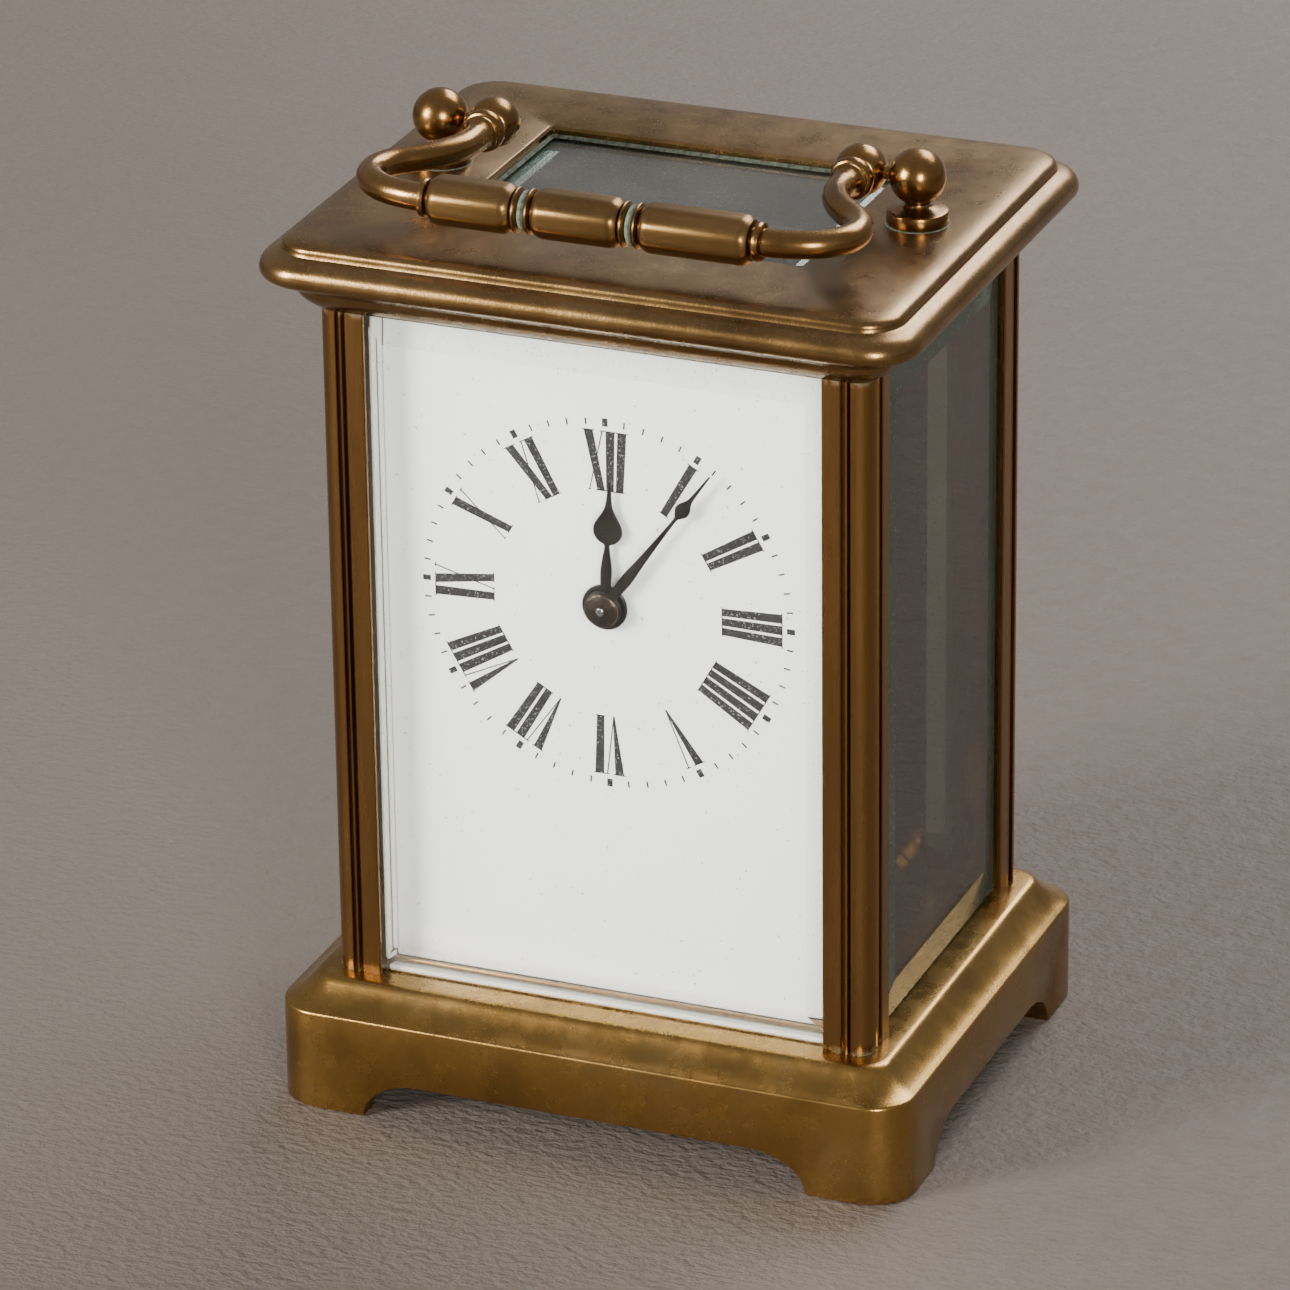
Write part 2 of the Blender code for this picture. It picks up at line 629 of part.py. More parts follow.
def dial():
    half = CASE_HALF_X - PILLAR_X - GAP
    plate = box("dial_plate", (-half, DIAL_FACE, PLATEAU + 1.5), (half, DIAL_FACE + DIAL_THICK,
                CORNICE_FOOT - 0.6), "enamel")
    cut(plate, rod("dial_hole", -30, 0, 2.4, "Y", (0, 0, DIAL_Z), None, 16))


def hand(name, tip, bulb_at, bulb, boss, bore, low, angle, finish="blued_steel"):
    """A pear-headed hand: a round boss, a thin stalk, a pear-shaped bulb and a fine point."""
    right = [(0.45, boss * 0.95), (0.42, bulb_at - bulb * 1.3), (bulb * 0.75, bulb_at - bulb * 0.75),
             (bulb, bulb_at), (bulb * 0.7, bulb_at + bulb * 0.75), (0.4, bulb_at + bulb * 1.7), (0.18, tip)]
    ring = [(boss * math.sin(t), boss * math.cos(t)) for t in [2 * math.pi * i / 16 for i in range(3, 14)]]
    clockwise = math.radians(angle)
    points = right[::-1] + ring + [(-x, z) for x, z in right]
    outline = [(x * math.cos(clockwise) + z * math.sin(clockwise),
                -(z * math.cos(clockwise) - x * math.sin(clockwise))) for x, z in points]
    hole = [(bore * math.cos(t), bore * math.sin(t)) for t in [2 * math.pi * i / 12 for i in range(12)]]
    return flat(name, [outline, hole], low, low + 0.35, "Y", (0, 0, DIAL_Z), finish)


def hands():
    hand("hour_hand", 14.9, 10.0, 1.75, 2.6, 2.0, -22.2, HOUR_ANGLE)
    hand("minute_hand", 20.4, 17.0, 0.85, 2.1, 1.4, -22.8, MINUTE_ANGLE)
    turned("hand_collet", [(-22.9, 2.1), (-23.1, 2.15), (-23.5, 1.8), (-23.6, 0.75), (-22.9, 0.75)],
           "Y", at_arbor(CENTRE_AT), "blued_steel", 20)


# ---------------------------------------------------------------- movement


def movement_frame(holes):
    """Two plates and four posts. holes are the pivots that the plates carry."""
    plates = []
    for name, front in (("movement_front_plate", FRONT_PLATE), ("movement_back_plate", BACK_PLATE)):
        plate = box(name, (-PLATE_HALF_X, front, PLATEAU + GAP), (PLATE_HALF_X, front + PLATE, PLATE_TOP),
                    "polished_brass")
        for number, (centre, front_radius, back_radius) in enumerate(holes):
            radius = front_radius if front == FRONT_PLATE else back_radius
            if radius:
                cut(plate, rod(f"{name}_pivot_{number}", front - 1, front + PLATE + 1, radius, "Y",
                               at_arbor(centre), None, 12))
        plates.append(plate)
    x, heights = MOVEMENT_POST
    for side, sx in (("left", -1), ("right", 1)):
        for level, z in zip(("lower", "upper"), heights):
            front, back = FRONT_PLATE + PLATE + GAP, BACK_PLATE - GAP
            turned(f"movement_pillar_{level}_{side}",
                   [(back, 0), (back, 2.4), (back - 2, 2.4), (back - 3, 1.7), (front + 3, 1.7),
                    (front + 2, 2.4), (front, 2.4), (front, 0)], "Y", (sx * x, 0, z), "polished_brass", 12)
    return plates


def wheel(name, teeth, module, low, high, centre, phase, bore):
    made = toothed(name, teeth, module, low, high, "Y", at_arbor(centre), phase, "polished_brass")
    return cut(made, rod(name + "_bore", low - 1, high + 1, bore, "Y", at_arbor(centre), None, 12))


def pinion(holder, teeth, module, low, high, centre, phase):
    leaves = toothed(holder.name + "_leaves", teeth, module, low, high, "Y", at_arbor(centre), phase, None)
    return join(holder, leaves)


def crown_wheel(name, centre, floor, tips, phase):
    """The contrate wheel: a shallow cup whose rim carries teeth that point along its axis."""
    bm = bmesh.new()
    outer = CONTRATE_TEETH * CONTRATE_MODULE / 2 + 0.45
    inner = outer - 0.9
    root = tips - 0.8
    segments = 2 * CONTRATE_TEETH
    disc = bmesh.ops.create_circle(bm, cap_ends=True, segments=segments, radius=outer)["verts"]
    edges = list(bm.edges)
    for vert in disc:
        vert.co.z = floor
    for radius, rise in ((outer, True), (inner, True), (inner, False)):
        grown = bmesh.ops.extrude_edge_only(bm, edges=edges)["geom"]
        edges = [item for item in grown if isinstance(item, bmesh.types.BMEdge)]
        ring = {vert for edge in edges for vert in edge.verts}
        for vert in ring:
            angle = math.atan2(vert.co.y, vert.co.x)
            place = round(angle / (2 * math.pi) * segments)
            vert.co.x, vert.co.y = radius * math.cos(angle), radius * math.sin(angle)
            vert.co.z = (tips if place % 2 == 0 else root) if rise else floor + 0.8
    bmesh.ops.contextual_create(bm, geom=edges)
    bmesh.ops.rotate(bm, verts=bm.verts, cent=(0, 0, 0), matrix=Matrix.Rotation(phase, 3, "Z"))
    bmesh.ops.recalc_face_normals(bm, faces=bm.faces)
    made = placed(from_bmesh(name, bm, "polished_brass", smooth=False), "Y", at_arbor(centre))
    return cut(made, rod(name + "_bore", floor - 1, floor + 3, 1.0, "Y", at_arbor(centre), None, 12))


def going_train():
    """Barrel, second wheel, centre, third and contrate wheels between the plates, front to back in y."""
    second_at = meeting(BARREL_AT, pair_distance(BARREL_TEETH, SECOND_LEAVES, BARREL_MODULE),
                        CENTRE_AT, pair_distance(SECOND_TEETH, CENTRE_LEAVES, SECOND_MODULE))
    third_at = meeting(CENTRE_AT, pair_distance(CENTRE_TEETH, THIRD_LEAVES, CENTRE_MODULE),
                       CONTRATE_AT, pair_distance(THIRD_TEETH, CONTRATE_LEAVES, THIRD_MODULE))
    centre_phase = 0.0
    third_phase = meshing_phase(centre_phase, CENTRE_TEETH, THIRD_LEAVES, toward(CENTRE_AT, third_at))
    contrate_phase = meshing_phase(third_phase, THIRD_TEETH, CONTRATE_LEAVES, toward(third_at, CONTRATE_AT))
    second_phase = meshing_phase(centre_phase, CENTRE_LEAVES, SECOND_TEETH, toward(CENTRE_AT, second_at))
    barrel_phase = meshing_phase(second_phase, SECOND_LEAVES, BARREL_TEETH, toward(second_at, BARREL_AT))
    ends = (FRONT_PLATE + 0.4, BACK_PLATE + PLATE - 0.4)

    drum_radius, drum_back = 13.6, 3.4
    barrel = wheel("mainspring_barrel", BARREL_TEETH, BARREL_MODULE, -10.6, -8.8, BARREL_AT, barrel_phase, 2.0)
    join(barrel, tube("drum", -8.9, drum_back, drum_radius - 0.9, drum_radius, "Y", at_arbor(BARREL_AT), None, 24))
    tube("barrel_cover", drum_back - 1.3, drum_back - 0.1, 2.0, drum_radius - 1.2, "Y", at_arbor(BARREL_AT),
         "polished_brass", 24)
    mainspring(drum_radius)
    square = 1.15
    winding = turned("winding_arbor",
                     [(16.9, 0), (16.9, 1.55), (2.0, 1.55), (1.6, 2.6), (-8.2, 2.6), (-8.6, 1.6),
                      (ends[0], 1.6), (ends[0], 0)], "Y", at_arbor(BARREL_AT), "steel", 16)
    join(winding, box("winding_square", (BARREL_AT[0] - square, 16.8, BARREL_AT[1] - square),
                      (BARREL_AT[0] + square, 21.4, BARREL_AT[1] + square), None))

    second = arbor("second_arbor", second_at, ends, 0.75, 0.6)
    pinion(second, SECOND_LEAVES, BARREL_MODULE, -11.6, -7.8, second_at, second_phase)
    wheel("second_wheel", SECOND_TEETH, SECOND_MODULE, 6.6, 7.7, second_at, second_phase, 1.05)

    centre = turned("centre_arbor",
                    [(15.6, 0), (15.6, 0.9), (-14.0, 0.9), (-14.0, 0.5), (-23.65, 0.5), (-23.75, 0.35), (-23.75, 0)],
                    "Y", at_arbor(CENTRE_AT), "steel", 12)
    join(centre, box("setting_square", (-0.85, 15.5, DIAL_Z - 0.85), (0.85, 19.6, DIAL_Z + 0.85), None))
    pinion(centre, CENTRE_LEAVES, SECOND_MODULE, 5.6, 8.7, CENTRE_AT, centre_phase)
    wheel("centre_wheel", CENTRE_TEETH, CENTRE_MODULE, -1.9, -0.8, CENTRE_AT, centre_phase, 1.2)

    third = arbor("third_arbor", third_at, ends, 0.7, 0.55)
    pinion(third, THIRD_LEAVES, CENTRE_MODULE, -2.9, 0.2, third_at, third_phase)
    wheel("third_wheel", THIRD_TEETH, THIRD_MODULE, 3.2, 4.1, third_at, third_phase, 1.0)

    contrate = arbor("contrate_arbor", CONTRATE_AT, ends, 0.65, 0.5)
    pinion(contrate, CONTRATE_LEAVES, THIRD_MODULE, 2.2, 5.2, CONTRATE_AT, contrate_phase)
    crown_wheel("contrate_wheel", CONTRATE_AT, ESCAPE_Y - 3.0, ESCAPE_Y - 0.65, contrate_phase)
    escape_phase = -math.pi / 2 - (0.5 + (-math.pi / 2 - contrate_phase) * CONTRATE_TEETH / (2 * math.pi)) * (
        2 * math.pi / ESCAPE_LEAVES)
    return second_at, third_at, escape_phase


def mainspring(drum_radius):
    """A ribbon wound in a spiral inside the barrel."""
    bm = bmesh.new()
    turns, per_turn = 5, 14
    count = turns * per_turn
    first, last = 3.4, drum_radius - 1.9
    ribbon = []
    for number in range(count + 1):
        angle = 2 * math.pi * number / per_turn
        radius = first + (last - first) * number / count
        ribbon.append(bm.verts.new((radius * math.cos(angle), radius * math.sin(angle), -7.6)))
    edges = [bm.edges.new(pair) for pair in zip(ribbon, ribbon[1:])]
    grown = bmesh.ops.extrude_edge_only(bm, edges=edges)["geom"]
    bmesh.ops.translate(bm, verts=[v for v in grown if isinstance(v, bmesh.types.BMVert)], vec=(0, 0, 9.2))
    bmesh.ops.recalc_face_normals(bm, faces=bm.faces)
    spring = placed(from_bmesh("mainspring", bm, "steel"), "Y", at_arbor(BARREL_AT))
    wall = spring.modifiers.new("ribbon", "SOLIDIFY")
    wall.thickness = 0.4 * MM
    wall.offset = 0.0


def winding_work():
    """Ratchet wheel on the winding arbor behind the back plate, its click and the click's spring."""
    back = BACK_PLATE + PLATE
    low, high = back + GAP, back + GAP + 1.3
    ratchet = saw_toothed("ratchet_wheel", RATCHET_TEETH, 5.0, 6.0, 0.15, low, high, "Y", at_arbor(BARREL_AT),
                          math.radians(-4.4), "polished_brass")
    cut(ratchet, rod("ratchet_bore", low - 1, high + 1, 1.85, "Y", at_arbor(BARREL_AT), None, 12))
    click_at = (BARREL_AT[0] + 5.09, BARREL_AT[1] + 6.44)
    pawl = [(1.6, 0.0), (1.7, 3.0), (0.95, 4.3), (0.05, 4.45), (0.35, 3.5), (-0.2, 1.6), (-1.3, 0.9),
            (-1.6, 0.0), (-1.1, -1.2), (0.0, -1.6), (1.1, -1.2)]
    bore = [(0.9 * math.cos(t), 0.9 * math.sin(t)) for t in [math.pi / 6 * i for i in range(12)]]
    flat("click", [pawl, bore], low, high, "Y", at_arbor(click_at), "steel")
    screw = turned("click_screw", [(high + 1.2, 0), (high + 1.2, 1.3), (high + 0.9, 1.6), (high + GAP, 1.6),
                                   (high + GAP, 0.6), (BACK_PLATE + 0.5, 0.6), (BACK_PLATE + 0.5, 0)], "Y",
                   at_arbor(click_at), None, 12)
    blade = [(2.6, 4.0), (2.95, 4.0), (3.1, -4.0), (4.4, -5.0), (4.4, -8.4), (2.0, -8.4), (2.0, -5.0)]
    flat("click_spring", [blade], low, high, "Y", at_arbor(click_at), "steel")
    return screw


def motion_work():
    """Cannon pinion, minute wheel on its stud, and hour wheel on its pipe, between dial and front plate."""
    reach = pair_distance(CANNON_LEAVES, MINUTE_TEETH, CANNON_MODULE)
    minute_at = (CENTRE_AT[0], CENTRE_AT[1] - reach)
    down = toward(CENTRE_AT, minute_at)
    minute_phase = meshing_phase(0.0, CANNON_LEAVES, MINUTE_TEETH, down)
    hour_phase = meshing_phase(minute_phase, MINUTE_LEAVES, HOUR_TEETH, toward(minute_at, CENTRE_AT))
    near, far = FRONT_PLATE - 1.3, FRONT_PLATE - GAP
    cannon = toothed("cannon_pinion", CANNON_LEAVES, CANNON_MODULE, near - 0.1, far, "Y", at_arbor(CENTRE_AT),
                     0.0, "steel")
    join(cannon, rod("cannon_pipe", -22.75, near, 1.1, "Y", at_arbor(CENTRE_AT), None, 16))
    cut(cannon, rod("cannon_bore", -30, -10, 0.75, "Y", at_arbor(CENTRE_AT), None, 16))
    minute = wheel("minute_wheel", MINUTE_TEETH, CANNON_MODULE, near, far, minute_at, minute_phase, 0.95)
    leaves = toothed("minute_leaves", MINUTE_LEAVES, HOUR_MODULE, near - 2.0, near + 0.1, "Y",
                     at_arbor(minute_at), minute_phase, None)
    cut(leaves, rod("minute_leaf_bore", -30, -10, 0.85, "Y", at_arbor(minute_at), None, 12))
    join(minute, leaves)
    stud = turned("minute_wheel_stud", [(FRONT_PLATE + 1.0, 0), (FRONT_PLATE + 1.0, 0.5), (near - 2.3, 0.5),
                                        (near - 2.3, 1.2), (near - 2.7, 1.0), (near - 2.7, 0)], "Y",
                  at_arbor(minute_at), None, 12)
    hour = toothed("hour_wheel", HOUR_TEETH, HOUR_MODULE, near - 1.6, near - 0.5, "Y", at_arbor(CENTRE_AT),
                   hour_phase, "polished_brass")
    join(hour, rod("hour_pipe", -22.3, near - 1.5, 1.75, "Y", at_arbor(CENTRE_AT), None, 16))
    cut(hour, rod("hour_bore", -30, -10, 1.4, "Y", at_arbor(CENTRE_AT), None, 16))
    return stud


def platform_escapement(escape_phase):
    """Escape wheel, lever, balance with its spring, cock and regulator on a plate above the movement."""
    floor, top = PLATFORM
    x = CONTRATE_AT[0]
    plate = box("escapement_platform", (-13, FRONT_PLATE + 0.4, floor), (13, BACK_PLATE + PLATE - 0.4, top),
                "polished_brass", soften=0.3)
    cut(plate, rod("escape_clearance", floor - 1, top + 1, 1.3, "Z", (x, ESCAPE_Y, 0), None, 12))
    arbor_low = CONTRATE_AT[1] + CONTRATE_TEETH * CONTRATE_MODULE / 2 - 1.2
    escape = turned("escape_arbor", [(98.2, 0), (98.2, 0.3), (97.4, 0.3), (97.4, 0.5), (arbor_low, 0.5),
                                     (arbor_low, 0)], "Z", (x, ESCAPE_Y, 0), "steel", 12)
    join(escape, toothed("escape_leaves", ESCAPE_LEAVES, CONTRATE_MODULE, arbor_low + 0.1, arbor_low + 2.6,
                         "Z", (x, ESCAPE_Y, 0), escape_phase, None, height=(0.55, 1.0), width=(0.30, 0.16)))
    wheel_made = saw_toothed("escape_wheel", ESCAPE_TEETH, 2.7, 3.6, 0.3, 95.9, 96.5, "Z", (x, ESCAPE_Y, 0),
                             0.0, "steel")
    cut(wheel_made, rod("escape_bore", 95, 97, 0.8, "Z", (x, ESCAPE_Y, 0), None, 12))
    lever()
    balance()


def lever():
    """Pallet lever between escape wheel and balance, drawn along the line from one to the other."""
    start = Vector(LEVER_AT)
    along = (Vector(BALANCE_AT) - start).normalized()
    aside = Vector((-along.y, along.x))
    shape = [(3.6, 0.75), (4.6, 0.9), (4.6, 0.45), (3.9, 0.0), (4.6, -0.45), (4.6, -0.9), (3.6, -0.75),
             (3.0, -0.4), (0.9, -0.6), (0.3, -2.4), (-0.5, -2.9), (-0.7, -2.2), (-0.5, -0.5), (-0.5, 0.5),
             (-0.7, 2.2), (-0.5, 2.9), (0.3, 2.4), (0.9, 0.6), (3.0, 0.4)]
    points = [tuple(start + along * a + aside * b) for a, b in shape]
    fork = flat("pallet_lever", [points], 95.9, 96.5, "Z", (0, 0, 0), "steel")
    join(fork, rod("lever_staff", PLATFORM[1] + GAP, 98.2, 0.35, "Z", (*LEVER_AT, 0), None, 10))


def balance():
    x, y = BALANCE_AT
    rim = tube("balance_wheel", 97.4, 98.2, 4.9, 5.7, "Z", (x, y, 0), "polished_brass", 28)
    join(rim, box("balance_arm", (x - 5.2, y - 0.45, 97.5), (x + 5.2, y + 0.45, 98.1), None))
    join(rim, rod("balance_staff", PLATFORM[1] + GAP, 99.9, 0.4, "Z", (x, y, 0), None, 12))
    spiral = bmesh.new()
    turns, per_turn = 4, 12
    ribbon = []
    for number in range(turns * per_turn + 1):
        angle = 2 * math.pi * number / per_turn
        radius = 0.9 + 2.4 * number / (turns * per_turn)
        ribbon.append(spiral.verts.new((x + radius * math.cos(angle), y + radius * math.sin(angle), 98.8)))
    edges = [spiral.edges.new(pair) for pair in zip(ribbon, ribbon[1:])]
    grown = bmesh.ops.extrude_edge_only(spiral, edges=edges)["geom"]
    bmesh.ops.translate(spiral, verts=[v for v in grown if isinstance(v, bmesh.types.BMVert)], vec=(0, 0, 0.35))
    bmesh.ops.recalc_face_normals(spiral, faces=spiral.faces)
    spring = from_bmesh("hairspring", spiral, "blued_steel")
    wall = spring.modifiers.new("ribbon", "SOLIDIFY")
    wall.thickness = 0.14 * MM
    wall.offset = 0.0
    cock()


def cock():
    """The balance cock: a bridge from a foot on the platform over the balance, with the regulator on it."""
    x, y = BALANCE_AT
    foot = (x + 4.6, y + 8.6)
    low, high = 100.2, 101.3
    body = box("balance_cock", (foot[0] - 3.4, foot[1] - 1.9, PLATFORM[1] + GAP), (foot[0] + 1.9, foot[1] + 1.9, high),
               "polished_brass")
    arm = flat("cock_arm", [[(x + 2.6, y - 1.6), (x + 3.3, y + 0.6), (foot[0] + 1.9, foot[1] - 1.0),
                             (foot[0] + 1.9, foot[1] + 1.8), (foot[0] - 3.3, foot[1] + 1.8),
                             (x - 2.2, y + 2.2), (x - 2.7, y + 0.2), (x - 1.4, y - 2.2), (x + 1.0, y - 2.6)]],
               low, high, "Z", (0, 0, 0), None)
    join(body, arm)
    regulator = tube("regulator_index", high + GAP, high + 0.8, 1.0, 1.9, "Z", (x, y, 0), "steel", 16)
    join(regulator, box("index_pointer", (x - 7.2, y - 0.35, high + GAP), (x - 1.5, y + 0.35, high + 0.8), None))
    join(body, turned("endstone_cap", [(high + 1.1, 0), (high + 1.1, 0.5), (high + 0.8, 0.7), (high - 0.2, 0.7),
                                       (high - 0.2, 0)], "Z", (x, y, 0), None, 12))


def main():
    case_base = base()
    case_top = cornice()
    pillars()
    glasses()
    case_screws(case_base)
    door(case_base, case_top)
    handle(case_top)
    dial()
    hands()
    second_at, third_at, escape_phase = going_train()
    click_screw = winding_work()
    minute_stud = motion_work()
    front_plate, back_plate = movement_frame([
        (BARREL_AT, 1.9, 1.85), (CENTRE_AT, 1.2, 1.2), (second_at, 0.9, 0.9), (third_at, 0.85, 0.85),
        (CONTRATE_AT, 0.8, 0.8),
    ])
    join(front_plate, minute_stud)
    join(back_plate, click_screw)
    platform_escapement(escape_phase)


main()
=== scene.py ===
"""The looks of a brass carriage clock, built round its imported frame."""

import math

import bmesh
import bpy
from bpy.props import FloatProperty, FloatVectorProperty, IntProperty, PointerProperty
from bpy.types import Operator, Panel, PropertyGroup
from mathutils import Matrix, Vector


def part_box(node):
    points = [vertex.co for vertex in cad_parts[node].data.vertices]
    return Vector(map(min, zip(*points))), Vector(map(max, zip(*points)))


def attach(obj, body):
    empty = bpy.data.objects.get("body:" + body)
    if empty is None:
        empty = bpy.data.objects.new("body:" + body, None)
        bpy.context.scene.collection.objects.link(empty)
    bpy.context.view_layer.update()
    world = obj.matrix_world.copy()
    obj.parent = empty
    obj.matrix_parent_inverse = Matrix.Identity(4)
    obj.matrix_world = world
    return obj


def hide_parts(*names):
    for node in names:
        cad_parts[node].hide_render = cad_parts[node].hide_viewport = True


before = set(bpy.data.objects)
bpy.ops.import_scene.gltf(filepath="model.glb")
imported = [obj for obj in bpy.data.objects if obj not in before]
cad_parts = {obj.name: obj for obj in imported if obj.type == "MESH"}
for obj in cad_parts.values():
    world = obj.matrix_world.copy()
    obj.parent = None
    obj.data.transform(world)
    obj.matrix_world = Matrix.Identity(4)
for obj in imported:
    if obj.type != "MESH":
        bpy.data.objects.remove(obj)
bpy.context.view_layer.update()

bl_info = {
    "name": "Carriage Clock",
    "version": (1, 0, 0),
    "blender": (4, 5, 0),
    "location": "View3D > Sidebar > Clock",
    "description": "Case, dial, handle and movement of a brass carriage clock",
    "category": "Object",
}

MM = 0.001  # millimetres to metres: shapes are worked out in millimetres

# The case, in millimetres. x runs to the right, y to the rear and z up.
HALF_X, HALF_Y = 34.0, 26.27  # the box that the pillars' outer corners make
BASE_OVERHANG, BASE_WALL, BASE_HOLLOW = 6.06, 3.4, 11.0  # wall past the pillars, its thickness, room inside
PLATEAU = 16.06  # top of the base, where the pillars stand
CORNICE_FOOT = 100.8
CASE_TOP = 109.9
WELL_X, WELL_Y, WELL_SEAT = 22.0, 16.2, 108.7  # half sizes of the opening in the top, and its glass's seat
REBATE = 2.0  # how much wider the seat is than the opening
PILLAR_X, PILLAR_Y = 5.86, 6.69  # a pillar's width and depth
PILLAR_STRIP = 2.3  # flat strip beside each glass, and the round corner's radius
SIDE_BEVEL = 1.45  # a side glass's bevel, as a share of the others'

# The handle
POST_X, POST_BALL = 29.7, 3.3
HANDLE_Y, HANDLE_Z = 1.0, 115.5  # its axis
HEAD_X, HEAD_BALL = 22.85, 3.05
GRIP_Y = HANDLE_Y - 25.7
GRIP_HALF = 19.6
GRIP_SECTIONS = (10.3, 10.7, 13.3)  # lengths from left to right
ARM_ROUTE = [(22.8, -5.4), (22.8, -7.2), (23.2, -9.2), (24.4, -11.6), (26.4, -14.0), (28.5, -16.2),
             (29.6, -19.0), (29.0, -21.9), (26.4, -24.4), (22.8, -25.55), (19.6, -25.7)]

# The dial and its hands
DIAL_Z = 66.9
DIAL_FOOT = 17.6  # the rest's top, where the dial's seen face starts
HOUR_ANGLE, MINUTE_ANGLE = 3, 36  # clockwise from twelve
HOUR_HAND = [(1.7, 0.6), (3.0, 0.64), (4.6, 0.68), (6.2, 0.5), (7.55, 0.3), (7.95, 0.42), (8.2, 0.95),
             (8.7, 1.48), (9.4, 1.76), (10.2, 1.7), (11.0, 1.3), (11.8, 0.82), (12.6, 0.46), (13.6, 0.3),
             (15.8, 0.12)]  # (radius, half width) pairs
MINUTE_HAND = [(1.9, 0.55), (3.4, 0.64), (5.4, 0.7), (8.3, 0.50), (12.8, 0.28), (15.5, 0.22), (16.1, 0.46),
               (16.8, 0.86), (17.5, 0.8), (18.3, 0.42), (19.3, 0.24), (22.8, 0.10)]

# The plate screws: x from the middle, z from the floor
SCREWS_AT = [(-21.5, 21.5), (-21.5, 88.0), (21.5, 21.5), (21.5, 88.0)]

# The stage, in metres: name, place, aim, size, watts and tint of each lamp
LAMPS = [("lamp_left", (-0.72, -0.85, 0.44), (0, -0.24, 0), (0.35, 0.45), 19.0, (1.0, 0.98, 0.95)),
         ("lamp_right", (0.62, -0.95, 0.38), (0.05, -0.24, 0), (0.25, 0.35), 9.5, (1.0, 0.98, 0.95)),
         ("lamp_back", (0.1, 1.0, 0.80), (0, 0.95, 0), (1.2, 0.5), 18.0, (0.98, 0.99, 1.0))]
FLOOR_SIZE = 3.0  # from the middle to an edge

# The camera: its turn in degrees, then the point that it looks at and how far off that is
CAMERA_TURN = (22.235, 24.042, -0.727)  # azimuth, elevation, roll
CAMERA_RIGHT, CAMERA_HEIGHT, CAMERA_DISTANCE = -3.976, 52.682, 890.996
CAMERA_LENS, CAMERA_SENSOR = 209.0, 36.0


# ------------------------------------------------------------ settings

def length(name, description, millimetres):
    return FloatProperty(name=name, description=description, default=millimetres * MM,
                         min=0.0, unit="LENGTH", subtype="DISTANCE", precision=5)


def colour(name, description, value):
    return FloatVectorProperty(name=name, description=description, default=value,
                               size=3, min=0.0, max=1.0, subtype="COLOR")


class CaseSettings(PropertyGroup):
    foot_inner_x: length("Front arch half width", "From the middle to a front foot", 28.2)
    foot_inner_y: length("Side arch half width", "From the middle to a side foot", 20.3)
    arch_height: length("Arch height", "Height of the gap under the base", 4.9)
    arch_run: length("Arch corner", "Length of the arch's curved ends", 7.0)
    bevel_width: length("Glass bevel", "Width of the bevel round each pane", 3.5)
    bevel_depth: length("Glass bevel depth", "How much thinner a pane is at its edge", 0.85)
    wire: length("Handle wire", "Radius of the handle's arms", 1.65)
    grip: length("Grip", "Radius of the handle's grip", 3.0)
    corner_steps: IntProperty(name="Corner steps", description="Faces round a corner",
                              default=12, min=4, max=32)


class DialSettings(PropertyGroup):
    numeral_inner: length("Numeral foot", "Radius at the inner end of the numerals", 14.2)
    numeral_outer: length("Numeral head", "Radius at the outer end of the numerals", 21.7)
    stroke: length("Thick stroke", "Width of a numeral's thick stroke", 1.12)
    hairline: length("Hairline", "Width of a numeral's thin stroke", 0.15)
    minute_ring: length("Minute ring", "Radius of the hour marks", 22.75)


class FinishSettings(PropertyGroup):
    brass_dark: colour("Patina", "Darkest tone of the case brass", (0.125, 0.070, 0.028))
    brass_mid: colour("Brass", "Main tone of the case brass", (0.262, 0.152, 0.055))
    brass_light: colour("Rubbed brass", "Handled tone of the case brass", (0.40, 0.27, 0.12))
    verdigris: colour("Verdigris", "Green crust in the joints", (0.13, 0.155, 0.11))
    dust: colour("Dust", "Pale dust on the ledges", (0.24, 0.19, 0.155))
    enamel: colour("Enamel", "The dial's white", (0.87, 0.88, 0.86))
    floor: colour("Floor", "The surface that the clock stands on", (0.172, 0.140, 0.116))


# ------------------------------------------------------------ shapes

def rounded(half_x, half_y, radius, steps=12):
    """Points round a rectangle with round corners, anticlockwise."""
    points = []
    for sx, sy, start in ((1, 1, 0), (-1, 1, 90), (-1, -1, 180), (1, -1, 270)):
        for i in range(steps + 1):
            angle = math.radians(start + 90 * i / steps)
            points.append((sx * (half_x - radius) + radius * math.cos(angle),
                           sy * (half_y - radius) + radius * math.sin(angle)))
    return points


def eased(points, per_span=4):
    """More points on a smooth curve through these."""
    route = [Vector(p) for p in points]
    ends = [route[0] * 2 - route[1]] + route + [route[-1] * 2 - route[-2]]
    made = []
    for a, b, c, d in zip(ends, ends[1:], ends[2:], ends[3:]):
        for i in range(per_span):
            t = i / per_span
            made.append(0.5 * (2 * b + (c - a) * t + (2 * a - 5 * b + 4 * c - d) * t * t
                               + (3 * b - a - 3 * c + d) * t ** 3))
    return made + [route[-1]]


